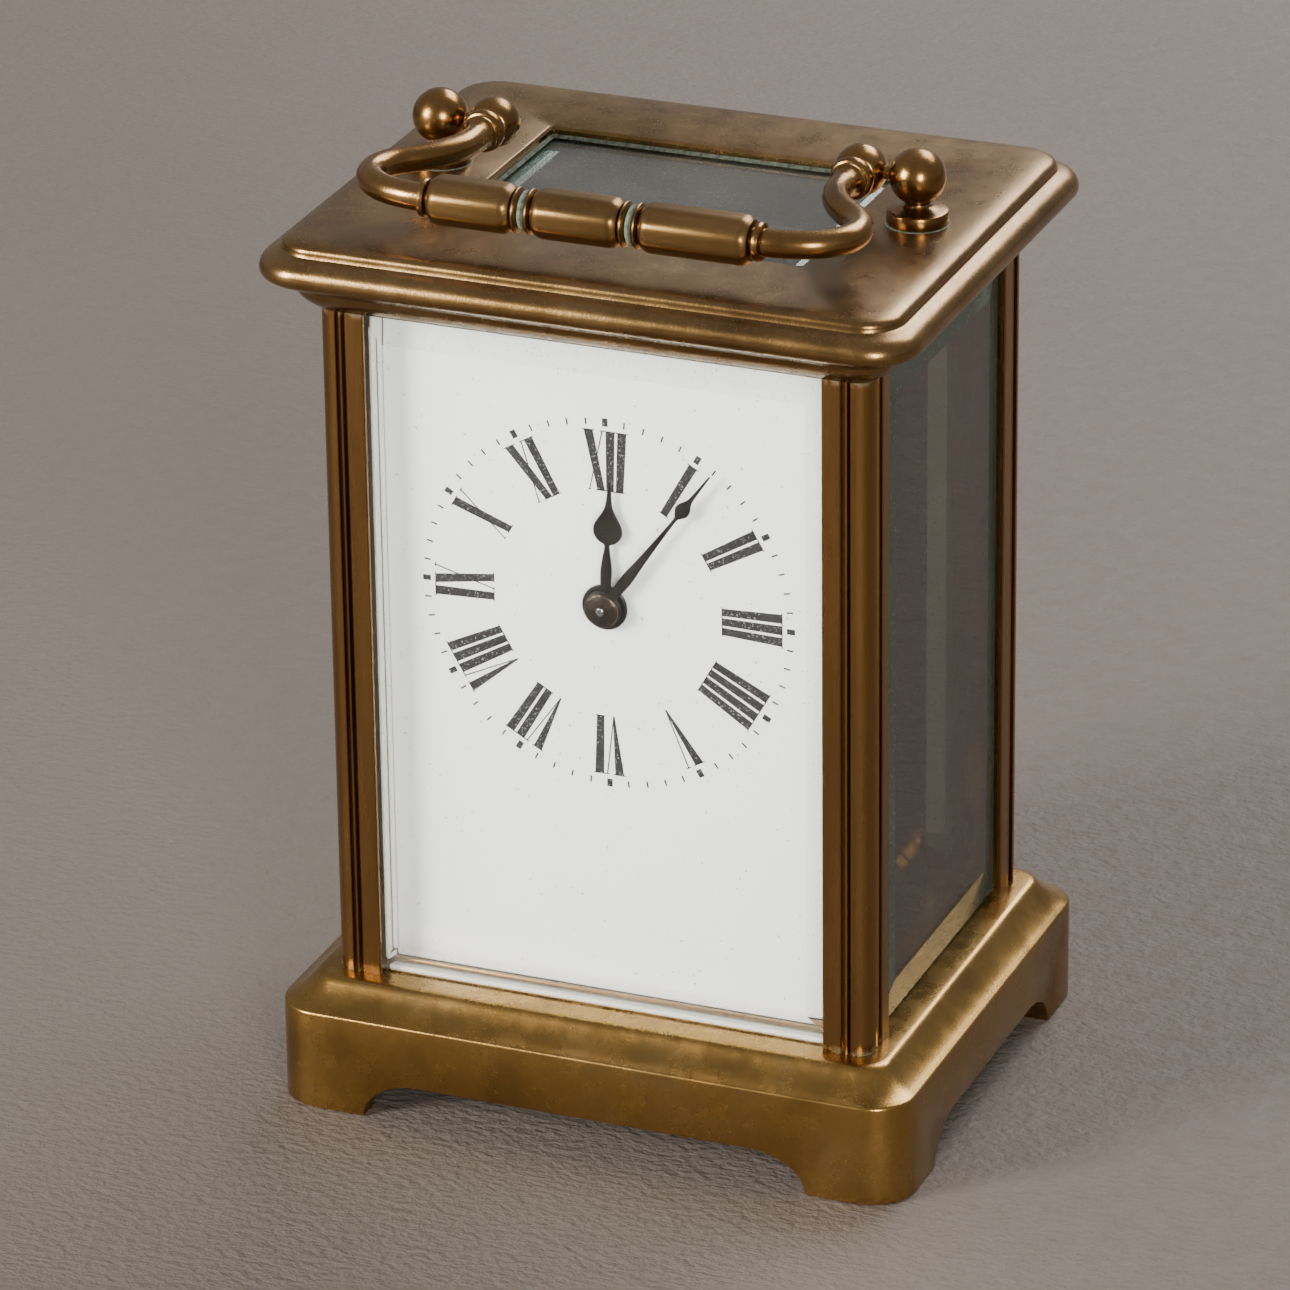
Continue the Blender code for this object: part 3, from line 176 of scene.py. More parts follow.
def skin(rings, capped=True):
    """A surface through rings of equally many points, each extruded from the one before."""
    bm = bmesh.new()
    ring = bmesh.ops.create_circle(bm, cap_ends=False, segments=len(rings[0]), radius=1)["verts"]
    for vert, point in zip(ring, rings[0]):
        vert.co = point
    loop = list(bm.edges)
    if capped:
        bmesh.ops.contextual_create(bm, geom=loop)
    for points in rings[1:]:
        order = {vert.co.to_tuple(4): i for i, vert in enumerate(ring)}
        grown = bmesh.ops.extrude_edge_only(bm, edges=loop)["geom"]
        ring = [g for g in grown if isinstance(g, bmesh.types.BMVert)]
        fresh = set(ring)
        loop = [g for g in grown if isinstance(g, bmesh.types.BMEdge) and set(g.verts) <= fresh]
        ring.sort(key=lambda vert: order[vert.co.to_tuple(4)])
        for vert, point in zip(ring, points):
            vert.co = point
    if capped:
        bmesh.ops.contextual_create(bm, geom=loop)
    return tidied(bm)


def tidied(bm):
    """Doubles merged and faces turned outwards."""
    bmesh.ops.remove_doubles(bm, verts=bm.verts, dist=0.0005)
    bmesh.ops.recalc_face_normals(bm, faces=bm.faces)
    return bm


def turned(profile, centre, axis="Z", steps=48):
    """A turned shape: profile holds (place along the axis, radius) pairs."""
    side, along = {"X": ((0, 1, 0), (1, 0, 0)), "Y": ((0, 0, 1), (0, 1, 0)),
                   "Z": ((1, 0, 0), (0, 0, 1))}[axis]
    bm = bmesh.new()
    verts = [bm.verts.new(Vector(centre) + Vector(along) * a + Vector(side) * r) for a, r in profile]
    edges = [bm.edges.new(pair) for pair in zip(verts, verts[1:])]
    bmesh.ops.spin(bm, geom=verts + edges, cent=centre, axis=along, dvec=(0, 0, 0),
                   angle=2 * math.pi, steps=steps, use_merge=True, use_duplicate=False)
    return tidied(bm)


def prism(points, low, high, axis="Z"):
    """A flat outline made a solid between two places along an axis."""
    def at(p, depth):
        return {"X": (depth, p[0], p[1]), "Y": (p[0], depth, p[1]), "Z": (p[0], p[1], depth)}[axis]
    return skin([[at(p, low) for p in points], [at(p, high) for p in points]])


def block(low, high):
    """A box between two corners."""
    bm = bmesh.new()
    bmesh.ops.create_cube(bm, size=1)
    low, high = Vector(low), Vector(high)
    for vert in bm.verts:
        vert.co = (low + high) / 2 + Vector([c * s for c, s in zip(vert.co, high - low)])
    return bm


def swept(route, radius, steps=20):
    """A round wire along a route of points."""
    rings = []
    for i, point in enumerate(route):
        ahead = route[min(i + 1, len(route) - 1)] - route[max(i - 1, 0)]
        side = ahead.cross(Vector((0, 0, 1))).normalized()
        rings.append([point + (side * math.cos(t) + Vector((0, 0, 1)) * math.sin(t)) * radius
                      for t in [2 * math.pi * k / steps for k in range(steps)]])
    return skin(rings)


def merged(*shapes):
    """Several shapes in one, side by side."""
    whole = shapes[0]
    for other in shapes[1:]:
        mesh = bpy.data.meshes.new("part")
        other.to_mesh(mesh)
        other.free()
        whole.from_mesh(mesh)
        bpy.data.meshes.remove(mesh)
    return whole


def softened(bm, width, segments=2, angle=35):
    """Rounds every edge sharper than the angle."""
    limit = math.radians(angle)
    sharp = [e for e in bm.edges if len(e.link_faces) == 2 and e.calc_face_angle(0) > limit]
    bmesh.ops.bevel(bm, geom=sharp, offset=width, offset_type="OFFSET", affect="EDGES",
                    segments=segments, profile=0.5, material=-1, clamp_overlap=True)
    return bm


def carved(bm, *cutters):
    """The shape less the cutters, by exact Booleans."""
    objects = []
    for shape in (bm, *cutters):
        mesh = bpy.data.meshes.new("carving")
        shape.to_mesh(mesh)
        shape.free()
        objects.append(bpy.data.objects.new("carving", mesh))
        bpy.context.scene.collection.objects.link(objects[-1])
    for cutter in objects[1:]:
        boolean = objects[0].modifiers.new("cut", "BOOLEAN")
        boolean.operation, boolean.object, boolean.solver = "DIFFERENCE", cutter, "EXACT"
    graph = bpy.context.evaluated_depsgraph_get()
    result = bmesh.new()
    result.from_mesh(objects[0].evaluated_get(graph).to_mesh())
    for obj in objects:
        mesh = obj.data
        bpy.data.objects.remove(obj)
        bpy.data.meshes.remove(mesh)
    bmesh.ops.dissolve_degenerate(result, dist=0.0005, edges=result.edges)
    return tidied(result)


def piece(name, bm, body, finishes, stands_for=(), choose=None, sharp=32):
    """Turns a shape in millimetres into a piece that rides a body."""
    finishes = finishes if isinstance(finishes, (list, tuple)) else [finishes]
    for face in bm.faces:
        face.smooth = True
        face.material_index = choose(face) if choose else 0
    for edge in bm.edges:
        edge.smooth = len(edge.link_faces) != 2 or edge.calc_face_angle(0) < math.radians(sharp)
    bmesh.ops.scale(bm, vec=(MM, MM, MM), verts=bm.verts)
    mesh = bpy.data.meshes.new(name)
    bm.to_mesh(mesh)
    bm.free()
    for finish in finishes:
        mesh.materials.append(finish)
    obj = bpy.data.objects.new(name, mesh)
    bpy.context.scene.collection.objects.link(obj)
    if stands_for:
        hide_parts(*stands_for)
    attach(obj, body)
    return obj


# ------------------------------------------------------------ finishes

class Nodes:
    """Builds one material's nodes."""

    def __init__(self, name):
        self.material = bpy.data.materials.new(name)
        self.material.use_nodes = True
        self.tree = self.material.node_tree
        self.tree.nodes.clear()
        self.output = self.add("OutputMaterial")
        self.shader = self.add("BsdfPrincipled")
        self.link(self.shader.outputs[0], self.output.inputs["Surface"])
        self.coordinates = self.add("TexCoord")

    def add(self, kind, **settings):
        node = self.tree.nodes.new("ShaderNode" + kind)
        for key, value in settings.items():
            setattr(node, key, value)
        return node

    def link(self, start, end):
        self.tree.links.new(start, end)

    def place(self, stretch=(1, 1, 1)):
        """Object coordinates, stretched."""
        if stretch == (1, 1, 1):
            return self.coordinates.outputs["Object"]
        mapping = self.add("Mapping")
        mapping.inputs["Scale"].default_value = stretch
        self.link(self.coordinates.outputs["Object"], mapping.inputs["Vector"])
        return mapping.outputs[0]

    def noise(self, scale, detail=3, rough=0.55, stretch=(1, 1, 1)):
        """Noise with this many blotches to a metre."""
        node = self.add("TexNoise")
        node.inputs["Scale"].default_value = scale
        node.inputs["Detail"].default_value = detail
        node.inputs["Roughness"].default_value = rough
        self.link(self.place(stretch), node.inputs["Vector"])
        return node.outputs["Fac"]

    def remap(self, value, low, high, to_low=0.0, to_high=1.0):
        """A value moved from one range to another, and kept inside it."""
        node = self.add("MapRange")
        for key, number in zip(("From Min", "From Max", "To Min", "To Max"), (low, high, to_low, to_high)):
            node.inputs[key].default_value = number
        self.link(value, node.inputs["Value"])
        return node.outputs[0]

    def ramp(self, value, stops):
        """Tones along a value, from (place, tone) stops."""
        node = self.add("ValToRGB")
        line = node.color_ramp.elements
        while len(line) < len(stops):
            line.new(0.5)
        for element, (at, tone) in zip(line, stops):
            element.position, element.color = at, (*tone, 1)
        self.link(value, node.inputs[0])
        return node.outputs[0]

    def mix(self, factor, first, second):
        """Two tones, mixed by a node's output."""
        node = self.add("Mix", data_type="RGBA", blend_type="MIX")
        self.link(factor, node.inputs[0])
        for key, tone in ((6, first), (7, second)):
            if isinstance(tone, (tuple, list)):
                node.inputs[key].default_value = (*tone, 1)
            else:
                self.link(tone, node.inputs[key])
        return node.outputs[2]

    def math(self, operation, first, second):
        """A sum or product, kept between 0 and 1."""
        node = self.add("Math", operation=operation, use_clamp=True)
        for key, value in enumerate((first, second)):
            if isinstance(value, (int, float)):
                node.inputs[key].default_value = value
            else:
                self.link(value, node.inputs[key])
        return node.outputs[0]

    def axis(self, output, letter):
        """One axis of the object's coordinates or of the normal."""
        node = self.add("SeparateXYZ")
        self.link(self.coordinates.outputs[output], node.inputs[0])
        return node.outputs[letter]

    def bump(self, height, strength, distance):
        node = self.add("Bump")
        node.inputs["Strength"].default_value = strength
        node.inputs["Distance"].default_value = distance
        self.link(height, node.inputs["Height"])
        self.link(node.outputs[0], self.shader.inputs["Normal"])

    def set(self, **values):
        """Numbers, tones or links for the shader's sockets."""
        for key, value in values.items():
            socket = self.shader.inputs[key.replace("_", " ")]
            if isinstance(value, (int, float)):
                socket.default_value = value
            elif isinstance(value, (tuple, list)):
                socket.default_value = (*value, 1)
            else:
                self.link(value, socket)


def aged_brass(name, dark, mid, light, rough=(0.20, 0.31), dust=0.0, streaks=(1, 1, 1),
               green_at=(), *, dust_tone, green):
    """Old handled brass: blotched patina, fine grain, dust on what faces up, green in the joints.

    green_at holds the height of each joint and how far the green reaches from it."""
    n = Nodes(name)
    blotch = n.noise(70, 4, 0.55, streaks)
    tone = n.ramp(blotch, [(0.10, dark), (0.50, mid), (0.90, light)])
    speck = n.noise(1900, 3, 0.6, streaks)
    tone = n.mix(n.remap(speck, 0.35, 0.75, 0.0, 0.22), tone, dark)
    roughness = n.remap(n.noise(240, 5, 0.6, streaks), 0.3, 0.7, *rough)
    dulled = None
    if dust:
        upward = n.remap(n.axis("Normal", "Z"), 0.45, 1.0, 0.0, 1.0)
        cloud = n.math("MULTIPLY", n.remap(n.noise(60, 4, 0.6), 0.35, 0.70, 0.55, 1.0),
                       n.remap(n.noise(3000, 2, 0.6), 0.60, 0.70, 0.5, 2.6))
        dulled = n.math("MULTIPLY", n.math("MULTIPLY", upward, cloud), dust)
    for height, reach in green_at:
        offset = n.add("Math", operation="SUBTRACT")
        n.link(n.axis("Object", "Z"), offset.inputs[0])
        offset.inputs[1].default_value = height * MM
        near = n.add("Math", operation="ABSOLUTE")
        n.link(offset.outputs[0], near.inputs[0])
        band = n.remap(near.outputs[0], 0.0, reach * MM, 1.0, 0.0)
        crust = n.math("MULTIPLY", band, n.remap(n.noise(900, 4, 0.7), 0.42, 0.60))
        tone = n.mix(crust, tone, green)
        dulled = n.math("ADD", dulled, crust) if dulled is not None else crust
    if dulled is not None:
        tone = n.mix(dulled, tone, dust_tone) if dust else tone
        roughness = n.math("ADD", roughness, n.math("MULTIPLY", dulled, 0.45))
        n.set(Metallic=n.remap(dulled, 0.0, 1.0, 1.0, 0.25))
    else:
        n.set(Metallic=1.0)
    n.set(Base_Color=tone, Roughness=roughness)
    grain = n.math("ADD", n.noise(3200, 3, 0.6, streaks), n.math("MULTIPLY", n.noise(160, 3), 0.8))
    n.bump(grain, 0.07, 0.0003)
    return n.material


def worked_metal(name, dark, light, rough=(0.2, 0.35), grain=(1, 1, 1), strength=0.08):
    """Cleaner metal of the movement, with a grain and slight tarnish."""
    n = Nodes(name)
    tone = n.ramp(n.noise(220, 5, 0.6, grain), [(0.32, dark), (0.68, light)])
    roughness = n.remap(n.noise(900, 3, 0.6, grain), 0.3, 0.7, *rough)
    n.set(Base_Color=tone, Metallic=1.0, Roughness=roughness)
    n.bump(n.noise(2600, 2, 0.6, grain), strength, 0.0003)
    return n.material


def crusted(name, tone, pale):
    """Dry crust of verdigris."""
    n = Nodes(name)
    n.set(Base_Color=n.ramp(n.noise(1500, 4, 0.7), [(0.35, tone), (0.7, pale)]), Metallic=0.0,
          Roughness=n.remap(n.noise(600), 0.3, 0.7, 0.6, 0.85))
    n.bump(n.noise(2400, 3), 0.5, 0.0004)
    return n.material


def enamelled(name, tone, fleck, threshold=0.71, scale=1500):
    """Fired enamel, glossy, with a few flecks."""
    n = Nodes(name)
    flecks = n.remap(n.noise(scale, 2, 0.5), threshold, threshold + 0.03)
    shade = n.mix(n.remap(n.noise(18, 3), 0.3, 0.7, 0.0, 0.25), tone, tuple(c * 0.94 for c in tone))
    n.set(Base_Color=n.mix(flecks, shade, fleck), Metallic=0.0,
          Roughness=n.remap(n.noise(120, 3), 0.3, 0.7, 0.10, 0.20), Specular_IOR_Level=0.5)
    n.bump(n.noise(90, 2), 0.05, 0.0004)
    return n.material


def glazed(name, tone, veil=0.0, veil_tone=None, rough=(0.0, 0.02)):
    """Plate glass that lamps shine through, with a veil of dust."""
    n = Nodes(name)
    shade = n.mix(n.remap(n.noise(60, 3), 0.3, 0.7, 0.0, 0.3), tone, tuple(c * 0.95 for c in tone))
    n.set(Base_Color=shade, Metallic=0.0, IOR=1.5, Transmission_Weight=1.0,
          Roughness=n.remap(n.noise(1800, 3), 0.55, 0.75, *rough))
    surface = n.shader.outputs[0]
    if veil:
        film = n.add("BsdfDiffuse")
        film.inputs["Color"].default_value = (*veil_tone, 1)
        dusty = n.add("MixShader")
        cloud = n.math("ADD", n.remap(n.noise(45, 5, 0.65), 0.3, 0.75, veil * 0.55, veil * 1.25),
                       n.remap(n.noise(2600, 2), 0.64, 0.68, 0.0, veil))
        n.link(cloud, dusty.inputs[0])
        n.link(surface, dusty.inputs[1])
        n.link(film.outputs[0], dusty.inputs[2])
        surface = dusty.outputs[0]
    through = n.add("BsdfTransparent")
    through.inputs["Color"].default_value = (*[c * (1 - veil * 0.5) for c in tone], 1)
    ray = n.add("LightPath")
    lit = n.add("MixShader")
    n.link(ray.outputs["Is Shadow Ray"], lit.inputs[0])
    n.link(surface, lit.inputs[1])
    n.link(through.outputs[0], lit.inputs[2])
    n.link(lit.outputs[0], n.output.inputs["Surface"])
    return n.material


def scaled(tone, factors):
    """A tone with each channel multiplied."""
    return tuple(c * k for c, k in zip(tone, factors))


FINISH = {}  # filled by make_finishes


def make_finishes(tones):
    """Every material, made once from the settings."""
    dark, mid, light = (tuple(c) for c in (tones.brass_dark, tones.brass_mid, tones.brass_light))
    green, dust = tuple(tones.verdigris), tuple(tones.dust)
    warm = scaled(mid, (1.15, 1.05, 0.95))
    golden = scaled(mid, (1.62, 1.6, 1.2))
    fleck = (0.45, 0.42, 0.37)
    aged = {"dust_tone": dust, "green": green}
    FINISH.update(
        top=aged_brass("brass_cornice", dark, mid, light, dust=0.30, **aged),
        base=aged_brass("brass_base", dark, golden, light, dust=0.08, **aged),
        pillar=aged_brass("brass_pillar", dark, warm, mid, (0.2, 0.36), streaks=(1, 1, 0.12),
                          green_at=[(PLATEAU, 1.1), (CORNICE_FOOT, 0.9)], **aged),
        handle=aged_brass("brass_handle", dark, warm, light, (0.18, 0.30), dust=0.15, **aged),
        grip=aged_brass("brass_grip", dark, mid, light, (0.26, 0.38), dust=0.2, streaks=(0.2, 1, 1),
                        **aged),
        door=aged_brass("brass_door", dark, warm, light, (0.22, 0.38), streaks=(1, 1, 0.2), **aged),
        plate=worked_metal("brass_plates", (0.19, 0.12, 0.048), (0.27, 0.18, 0.075), (0.22, 0.34),
                           (0.3, 1, 1)),
        wheel=worked_metal("brass_wheels", (0.42, 0.29, 0.11), (0.68, 0.50, 0.22), (0.16, 0.30)),
        drum=worked_metal("brass_barrel", (0.30, 0.17, 0.08), (0.55, 0.34, 0.17), (0.2, 0.34)),
        steel=worked_metal("steel_polished", (0.26, 0.26, 0.27), (0.50, 0.50, 0.51), (0.16, 0.30)),
        spring=worked_metal("steel_spring", (0.10, 0.11, 0.14), (0.22, 0.23, 0.27), (0.25, 0.4)),
        black=worked_metal("steel_blackened", (0.012, 0.012, 0.012), (0.035, 0.033, 0.030), (0.34, 0.5),
                           strength=0.25),
        hub=worked_metal("steel_hub", (0.020, 0.017, 0.014), (0.075, 0.055, 0.038), (0.28, 0.42),
                         strength=0.3),
        crust=crusted("verdigris", scaled(green, (0.7,) * 3), scaled(green, (1.8,) * 3)),
        dark_crust=crusted("verdigris_dark", scaled(green, (0.25,) * 3), scaled(green, (1.3,) * 3)),
        enamel=enamelled("enamel_white", tuple(tones.enamel), fleck),
        # cream enamel for the strips round the dial: a painted reflection of the white dial in the polished
        # pillars
        slip=enamelled("slip_cream", (0.72, 0.70, 0.64), fleck),
        ink=enamelled("enamel_black", (0.016, 0.016, 0.018), (0.30, 0.30, 0.29), 0.645, 5200),
        clear=glazed("glass_clear", (0.98, 0.99, 0.985)),
        rim=glazed("glass_rim", (0.95, 0.97, 0.95), 0.17, (0.50, 0.52, 0.47)),
        dusty=glazed("glass_dusty", (0.80, 0.80, 0.76), 0.28, (0.10, 0.082, 0.068)),
        dusty_top=glazed("glass_dusty_top", (0.80, 0.84, 0.84), 0.36, (0.20, 0.19, 0.175)),
        edge=glazed("glass_edge", (0.50, 0.70, 0.62), 0.50, (0.135, 0.165, 0.135), (0.02, 0.2)),
    )


# ------------------------------------------------------------ the case

def level(half_x, half_y, radius, z, steps):
    """A ring round a rectangle at one height."""
    return [(x, y, z) for x, y in rounded(half_x, half_y, radius, steps)]


class CLOCK_OT_base(Operator):
    """Moulded base with four bracket feet"""
    bl_idname = "clock.base"
    bl_label = "Base"

    def execute(self, context):
        sizes = context.scene.clock_case
        steps = sizes.corner_steps
        wall = BASE_OVERHANG
        hollow = wall - BASE_WALL
        profile = [(wall - 0.25, 0.0), (wall, 0.25), (wall, 12.42), (6.03, 12.6), (5.94, 12.73), (5.8, 12.82),
                   (5.3, 13.05), (4.7, 13.42), (4.1, 13.88), (3.55, 14.4), (3.1, 14.9), (2.75, 15.33),
                   (2.5, 15.64), (2.25, 15.87), (1.95, 16.01), (1.6, PLATEAU)]
        rings = [level(HALF_X + hollow, HALF_Y + hollow, 2.6, z, steps) for z in (BASE_HOLLOW, 0.0)]
        for offset, z in profile:
            radius = 3.0 + (offset - 1.5) * 0.55
            rings.append(level(HALF_X + offset, HALF_Y + offset, radius, z, steps))
        rise, run = sizes.arch_height / MM, sizes.arch_run / MM
        cutters = []
        for half, axis, reach in ((sizes.foot_inner_x / MM, "Y", 45), (sizes.foot_inner_y / MM, "X", 55)):
            curve = [(half - run + run * math.cos(t), rise * math.sin(t))
                     for t in [math.pi / 2 * i / 12 for i in range(13)]]
            shape = [(half, -2)] + curve + [(-x, z) for x, z in reversed(curve)] + [(-half, -2)]
            cutters.append(prism(shape, -reach, reach, axis))
        bm = softened(carved(skin(rings), *cutters), 0.22, 2, 50)
        piece("base_body", bm, "case", FINISH["base"], ["base_moulding"])
        return {"FINISHED"}


class CLOCK_OT_cornice(Operator):
    """Moulded top with its round edge and the opening for the top glass"""
    bl_idname = "clock.cornice"
    bl_label = "Cornice"

    def execute(self, context):
        steps = context.scene.clock_case.corner_steps
        profile = [(0.3, CORNICE_FOOT), (0.45, 100.98), (0.8, 101.2), (1.3, 101.58), (1.85, 102.05),
                   (2.3, 102.6), (2.58, 103.1), (2.68, 103.42), (2.95, 103.55), (3.3, 103.8), (3.9, 104.2),
                   (4.75, 104.62), (5.5, 104.95), (6.0, 105.32), (6.24, 105.78), (6.29, 106.3),
                   (6.14, 106.9), (5.86, 107.38), (5.46, 107.76), (5.0, 108.0), (4.6, 108.13),
                   (4.25, 108.22), (4.0, 108.36), (3.88, 108.6), (3.87, 108.85), (3.82, 109.1),
                   (3.66, 109.36), (3.35, 109.58), (2.9, 109.73), (2.3, 109.83), (1.5, 109.88),
                   (0.5, CASE_TOP)]
        rings = [level(HALF_X + offset, HALF_Y + offset, 2.4 + offset * 0.62, z, steps)
                 for offset, z in profile]
        for out, radius, z in ((0.5, 0.9, CASE_TOP), (0.25, 0.7, 109.82), (0.0, 0.5, 109.5),
                               (0.0, 0.5, WELL_SEAT), (REBATE, 0.5, WELL_SEAT), (REBATE, 0.5, CORNICE_FOOT)):
            rings.append(level(WELL_X + out, WELL_Y + out, radius, z, steps))
        rings.append(rings[0])
        piece("cornice_body", skin(rings, capped=False), "case", FINISH["top"], ["top_cornice"])
        rim = [level(WELL_X - inset, WELL_Y - inset, radius, WELL_SEAT + rise, 3)
               for inset, radius, rise in ((0.0, 0.5, -0.1), (0.0, 0.5, 0.25), (0.15, 0.4, 0.1),
                                           (0.4, 0.4, -0.1), (0.0, 0.5, -0.1))]
        piece("top_glass_crust", skin(rim, capped=False), "case", FINISH["dark_crust"])
        return {"FINISHED"}


def pillar_outline():
    """One pillar's plan from its outer corner, inward along x and along y."""
    corner, sink = PILLAR_STRIP, 0.72
    lip, seat, deep = 0.55, 2.4, 1.6  # the glass's groove: where it starts and ends, and its depth

    def bead(middle):
        return [(middle + 0.3 * math.cos(t), sink - 0.62 * math.sin(t))
                for t in [math.pi * i / 8 for i in range(9)]]

    arc = [(corner - corner * math.cos(t), corner - corner * math.sin(t))
           for t in [math.pi / 2 * i / 12 for i in range(13)]]
    strip_x, strip_y = PILLAR_X - PILLAR_STRIP, PILLAR_Y - PILLAR_STRIP
    front = [(corner + 0.08, 0.1), (corner + 0.1, sink)] + bead(strip_x - 0.63)[::-1]
    front += [(strip_x - 0.02, sink), (strip_x, 0.12), (strip_x + 0.12, 0.0), (PILLAR_X - 0.15, 0.0),
              (PILLAR_X, 0.15), (PILLAR_X, lip), (PILLAR_X - deep, lip), (PILLAR_X - deep, seat),
              (PILLAR_X, seat)]
    side = [(seat, PILLAR_Y), (seat, PILLAR_Y - deep), (lip, PILLAR_Y - deep), (lip, PILLAR_Y),
            (0.15, PILLAR_Y), (0.0, PILLAR_Y - 0.15), (0.0, strip_y + 0.12), (0.12, strip_y),
            (sink, strip_y - 0.02)] + [(v, u) for u, v in bead(strip_y - 0.9)]
    side += [(sink, corner + 0.1), (0.1, corner + 0.08)]
    return side + arc + front + [(PILLAR_X, PILLAR_Y)]


class CLOCK_OT_pillars(Operator):
    """Four corner pillars with a flat strip beside each glass, a bead and a round corner"""
    bl_idname = "clock.pillars"
    bl_label = "Corner pillars"

    def execute(self, context):
        for side, sx in (("left", -1), ("right", 1)):
            for end, sy in (("front", -1), ("rear", 1)):
                plan = [(sx * (HALF_X - u), sy * (HALF_Y - v)) for u, v in pillar_outline()]
                bm = prism(plan, PLATEAU + 0.02, CORNICE_FOOT - 0.02)
                piece(f"pillar_{end}_{side}", bm, "case", FINISH["pillar"],
                      [f"corner_pillar_{end}_{side}"], sharp=28)
        return {"FINISHED"}


def pane(node, facing, width, depth):
    """A bevelled plate in a CAD pane's box, and which finish each of its faces takes.

    facing is the direction of its bevelled face."""
    low, high = (Vector(c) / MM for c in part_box(node))
    axis = max(range(3), key=lambda i: abs(facing[i]))
    a, b = [i for i in range(3) if i != axis]
    sign = facing[axis]
    outer, inner = (high[axis], low[axis]) if sign > 0 else (low[axis], high[axis])
    rings = []
    for inset, at in ((0.0, inner), (0.0, outer - sign * depth), (width, outer)):
        ring = []
        for u, v in ((low[a] + inset, low[b] + inset), (high[a] - inset, low[b] + inset),
                     (high[a] - inset, high[b] - inset), (low[a] + inset, high[b] - inset)):
            point = [0.0] * 3
            point[axis], point[a], point[b] = at, u, v
            ring.append(point)
        rings.append(ring)
    bm = skin(rings)
    facing = Vector(facing)

    def choose(face):
        """The bevel and the edges are the second finish."""
        return 0 if abs(face.normal.dot(facing)) > 0.999 else 1

    return bm, choose


class CLOCK_OT_glasses(Operator):
    """Bevelled glasses at the front, the sides and the top"""
    bl_idname = "clock.glasses"
    bl_label = "Glasses"

    def execute(self, context):
        sizes = context.scene.clock_case
        width, depth = sizes.bevel_width / MM, sizes.bevel_depth / MM
        for name, facing, finishes in (
                ("front_glass", (0, -1, 0), ("clear", "rim")),
                ("left_glass", (-1, 0, 0), ("dusty", "edge")),
                ("right_glass", (1, 0, 0), ("dusty", "edge")),
                ("top_glass", (0, 0, 1), ("dusty_top", "edge"))):
            bm, choose = pane(name, facing, width * (SIDE_BEVEL if facing[0] else 1.0), depth)
            piece(name + "_plate", bm, "case", [FINISH[f] for f in finishes], [name],
                  choose=choose, sharp=3)
        return {"FINISHED"}


class CLOCK_OT_rear_door(Operator):
    """Hinged rear door with its glass and knob"""
    bl_idname = "clock.rear_door"
    bl_label = "Rear door"

    def execute(self, context):
        low, high = (Vector(c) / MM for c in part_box("rear_door_frame"))
        stile, seat = 4.0, 1.2
        sill, edge = high.y - 0.72, high.y - 0.35
        middle, half = (low + high) / 2, (high - low) / 2
        rings = []
        for inset, y in ((0.5, high.y), (stile, high.y), (stile + 0.35, edge), (stile + 0.35, sill),
                         (stile - seat, sill), (stile - seat, low.y), (0.3, low.y), (0.0, low.y + 0.3),
                         (0.0, high.y - 0.5), (0.15, high.y - 0.15), (0.5, high.y)):
            rings.append([(middle.x + sx * (half.x - inset), y, middle.z + sz * (half.z - inset))
                          for sx, sz in ((-1, -1), (1, -1), (1, 1), (-1, 1))])
        piece("door_frame", skin(rings, capped=False), "rear_door", FINISH["door"],
              ["rear_door_frame"])
        bm, choose = pane("rear_door_glass", (0, 1, 0), context.scene.clock_case.bevel_width / MM, 0.7)
        piece("door_glass", bm, "rear_door", [FINISH["dusty"], FINISH["edge"]],
              ["rear_door_glass"], choose=choose, sharp=3)
        self.knob(high.y)
        return {"FINISHED"}

    @staticmethod
    def knob(y):
        """The knob, from the door's outer face."""
        profile = [(y + 5.2, 0), (y + 5.17, 0.6), (y + 5.0, 1.15), (y + 4.65, 1.62), (y + 4.2, 1.92),
                   (y + 3.7, 2.06), (y + 3.2, 2.05), (y + 2.7, 1.88), (y + 2.3, 1.55), (y + 2.0, 1.15),
                   (y + 1.8, 0.95), (y + 1.2, 0.9), (y + 1.05, 1.05), (y + 0.95, 1.4), (y + 0.75, 1.5),
                   (y + 0.05, 1.5), (y - 0.2, 1.2), (y - 0.2, 0)]
        low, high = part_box("door_knob")
        centre = (Vector(low) + Vector(high)) / 2 / MM
        piece("door_pull", turned(profile, (centre.x, 0, centre.z), "Y", 32), "rear_door",
              FINISH["handle"], ["door_knob"])


# ------------------------------------------------------------ the handle

def ball(radius, low, high, steps=16):
    """Profile of a ball between two places along its axis."""
    ends = [math.acos(max(-1, min(1, at / radius))) for at in (low, high)]
    return [(radius * math.cos(a), radius * math.sin(a))
            for a in [ends[0] + (ends[1] - ends[0]) * i / steps for i in range(steps + 1)]]


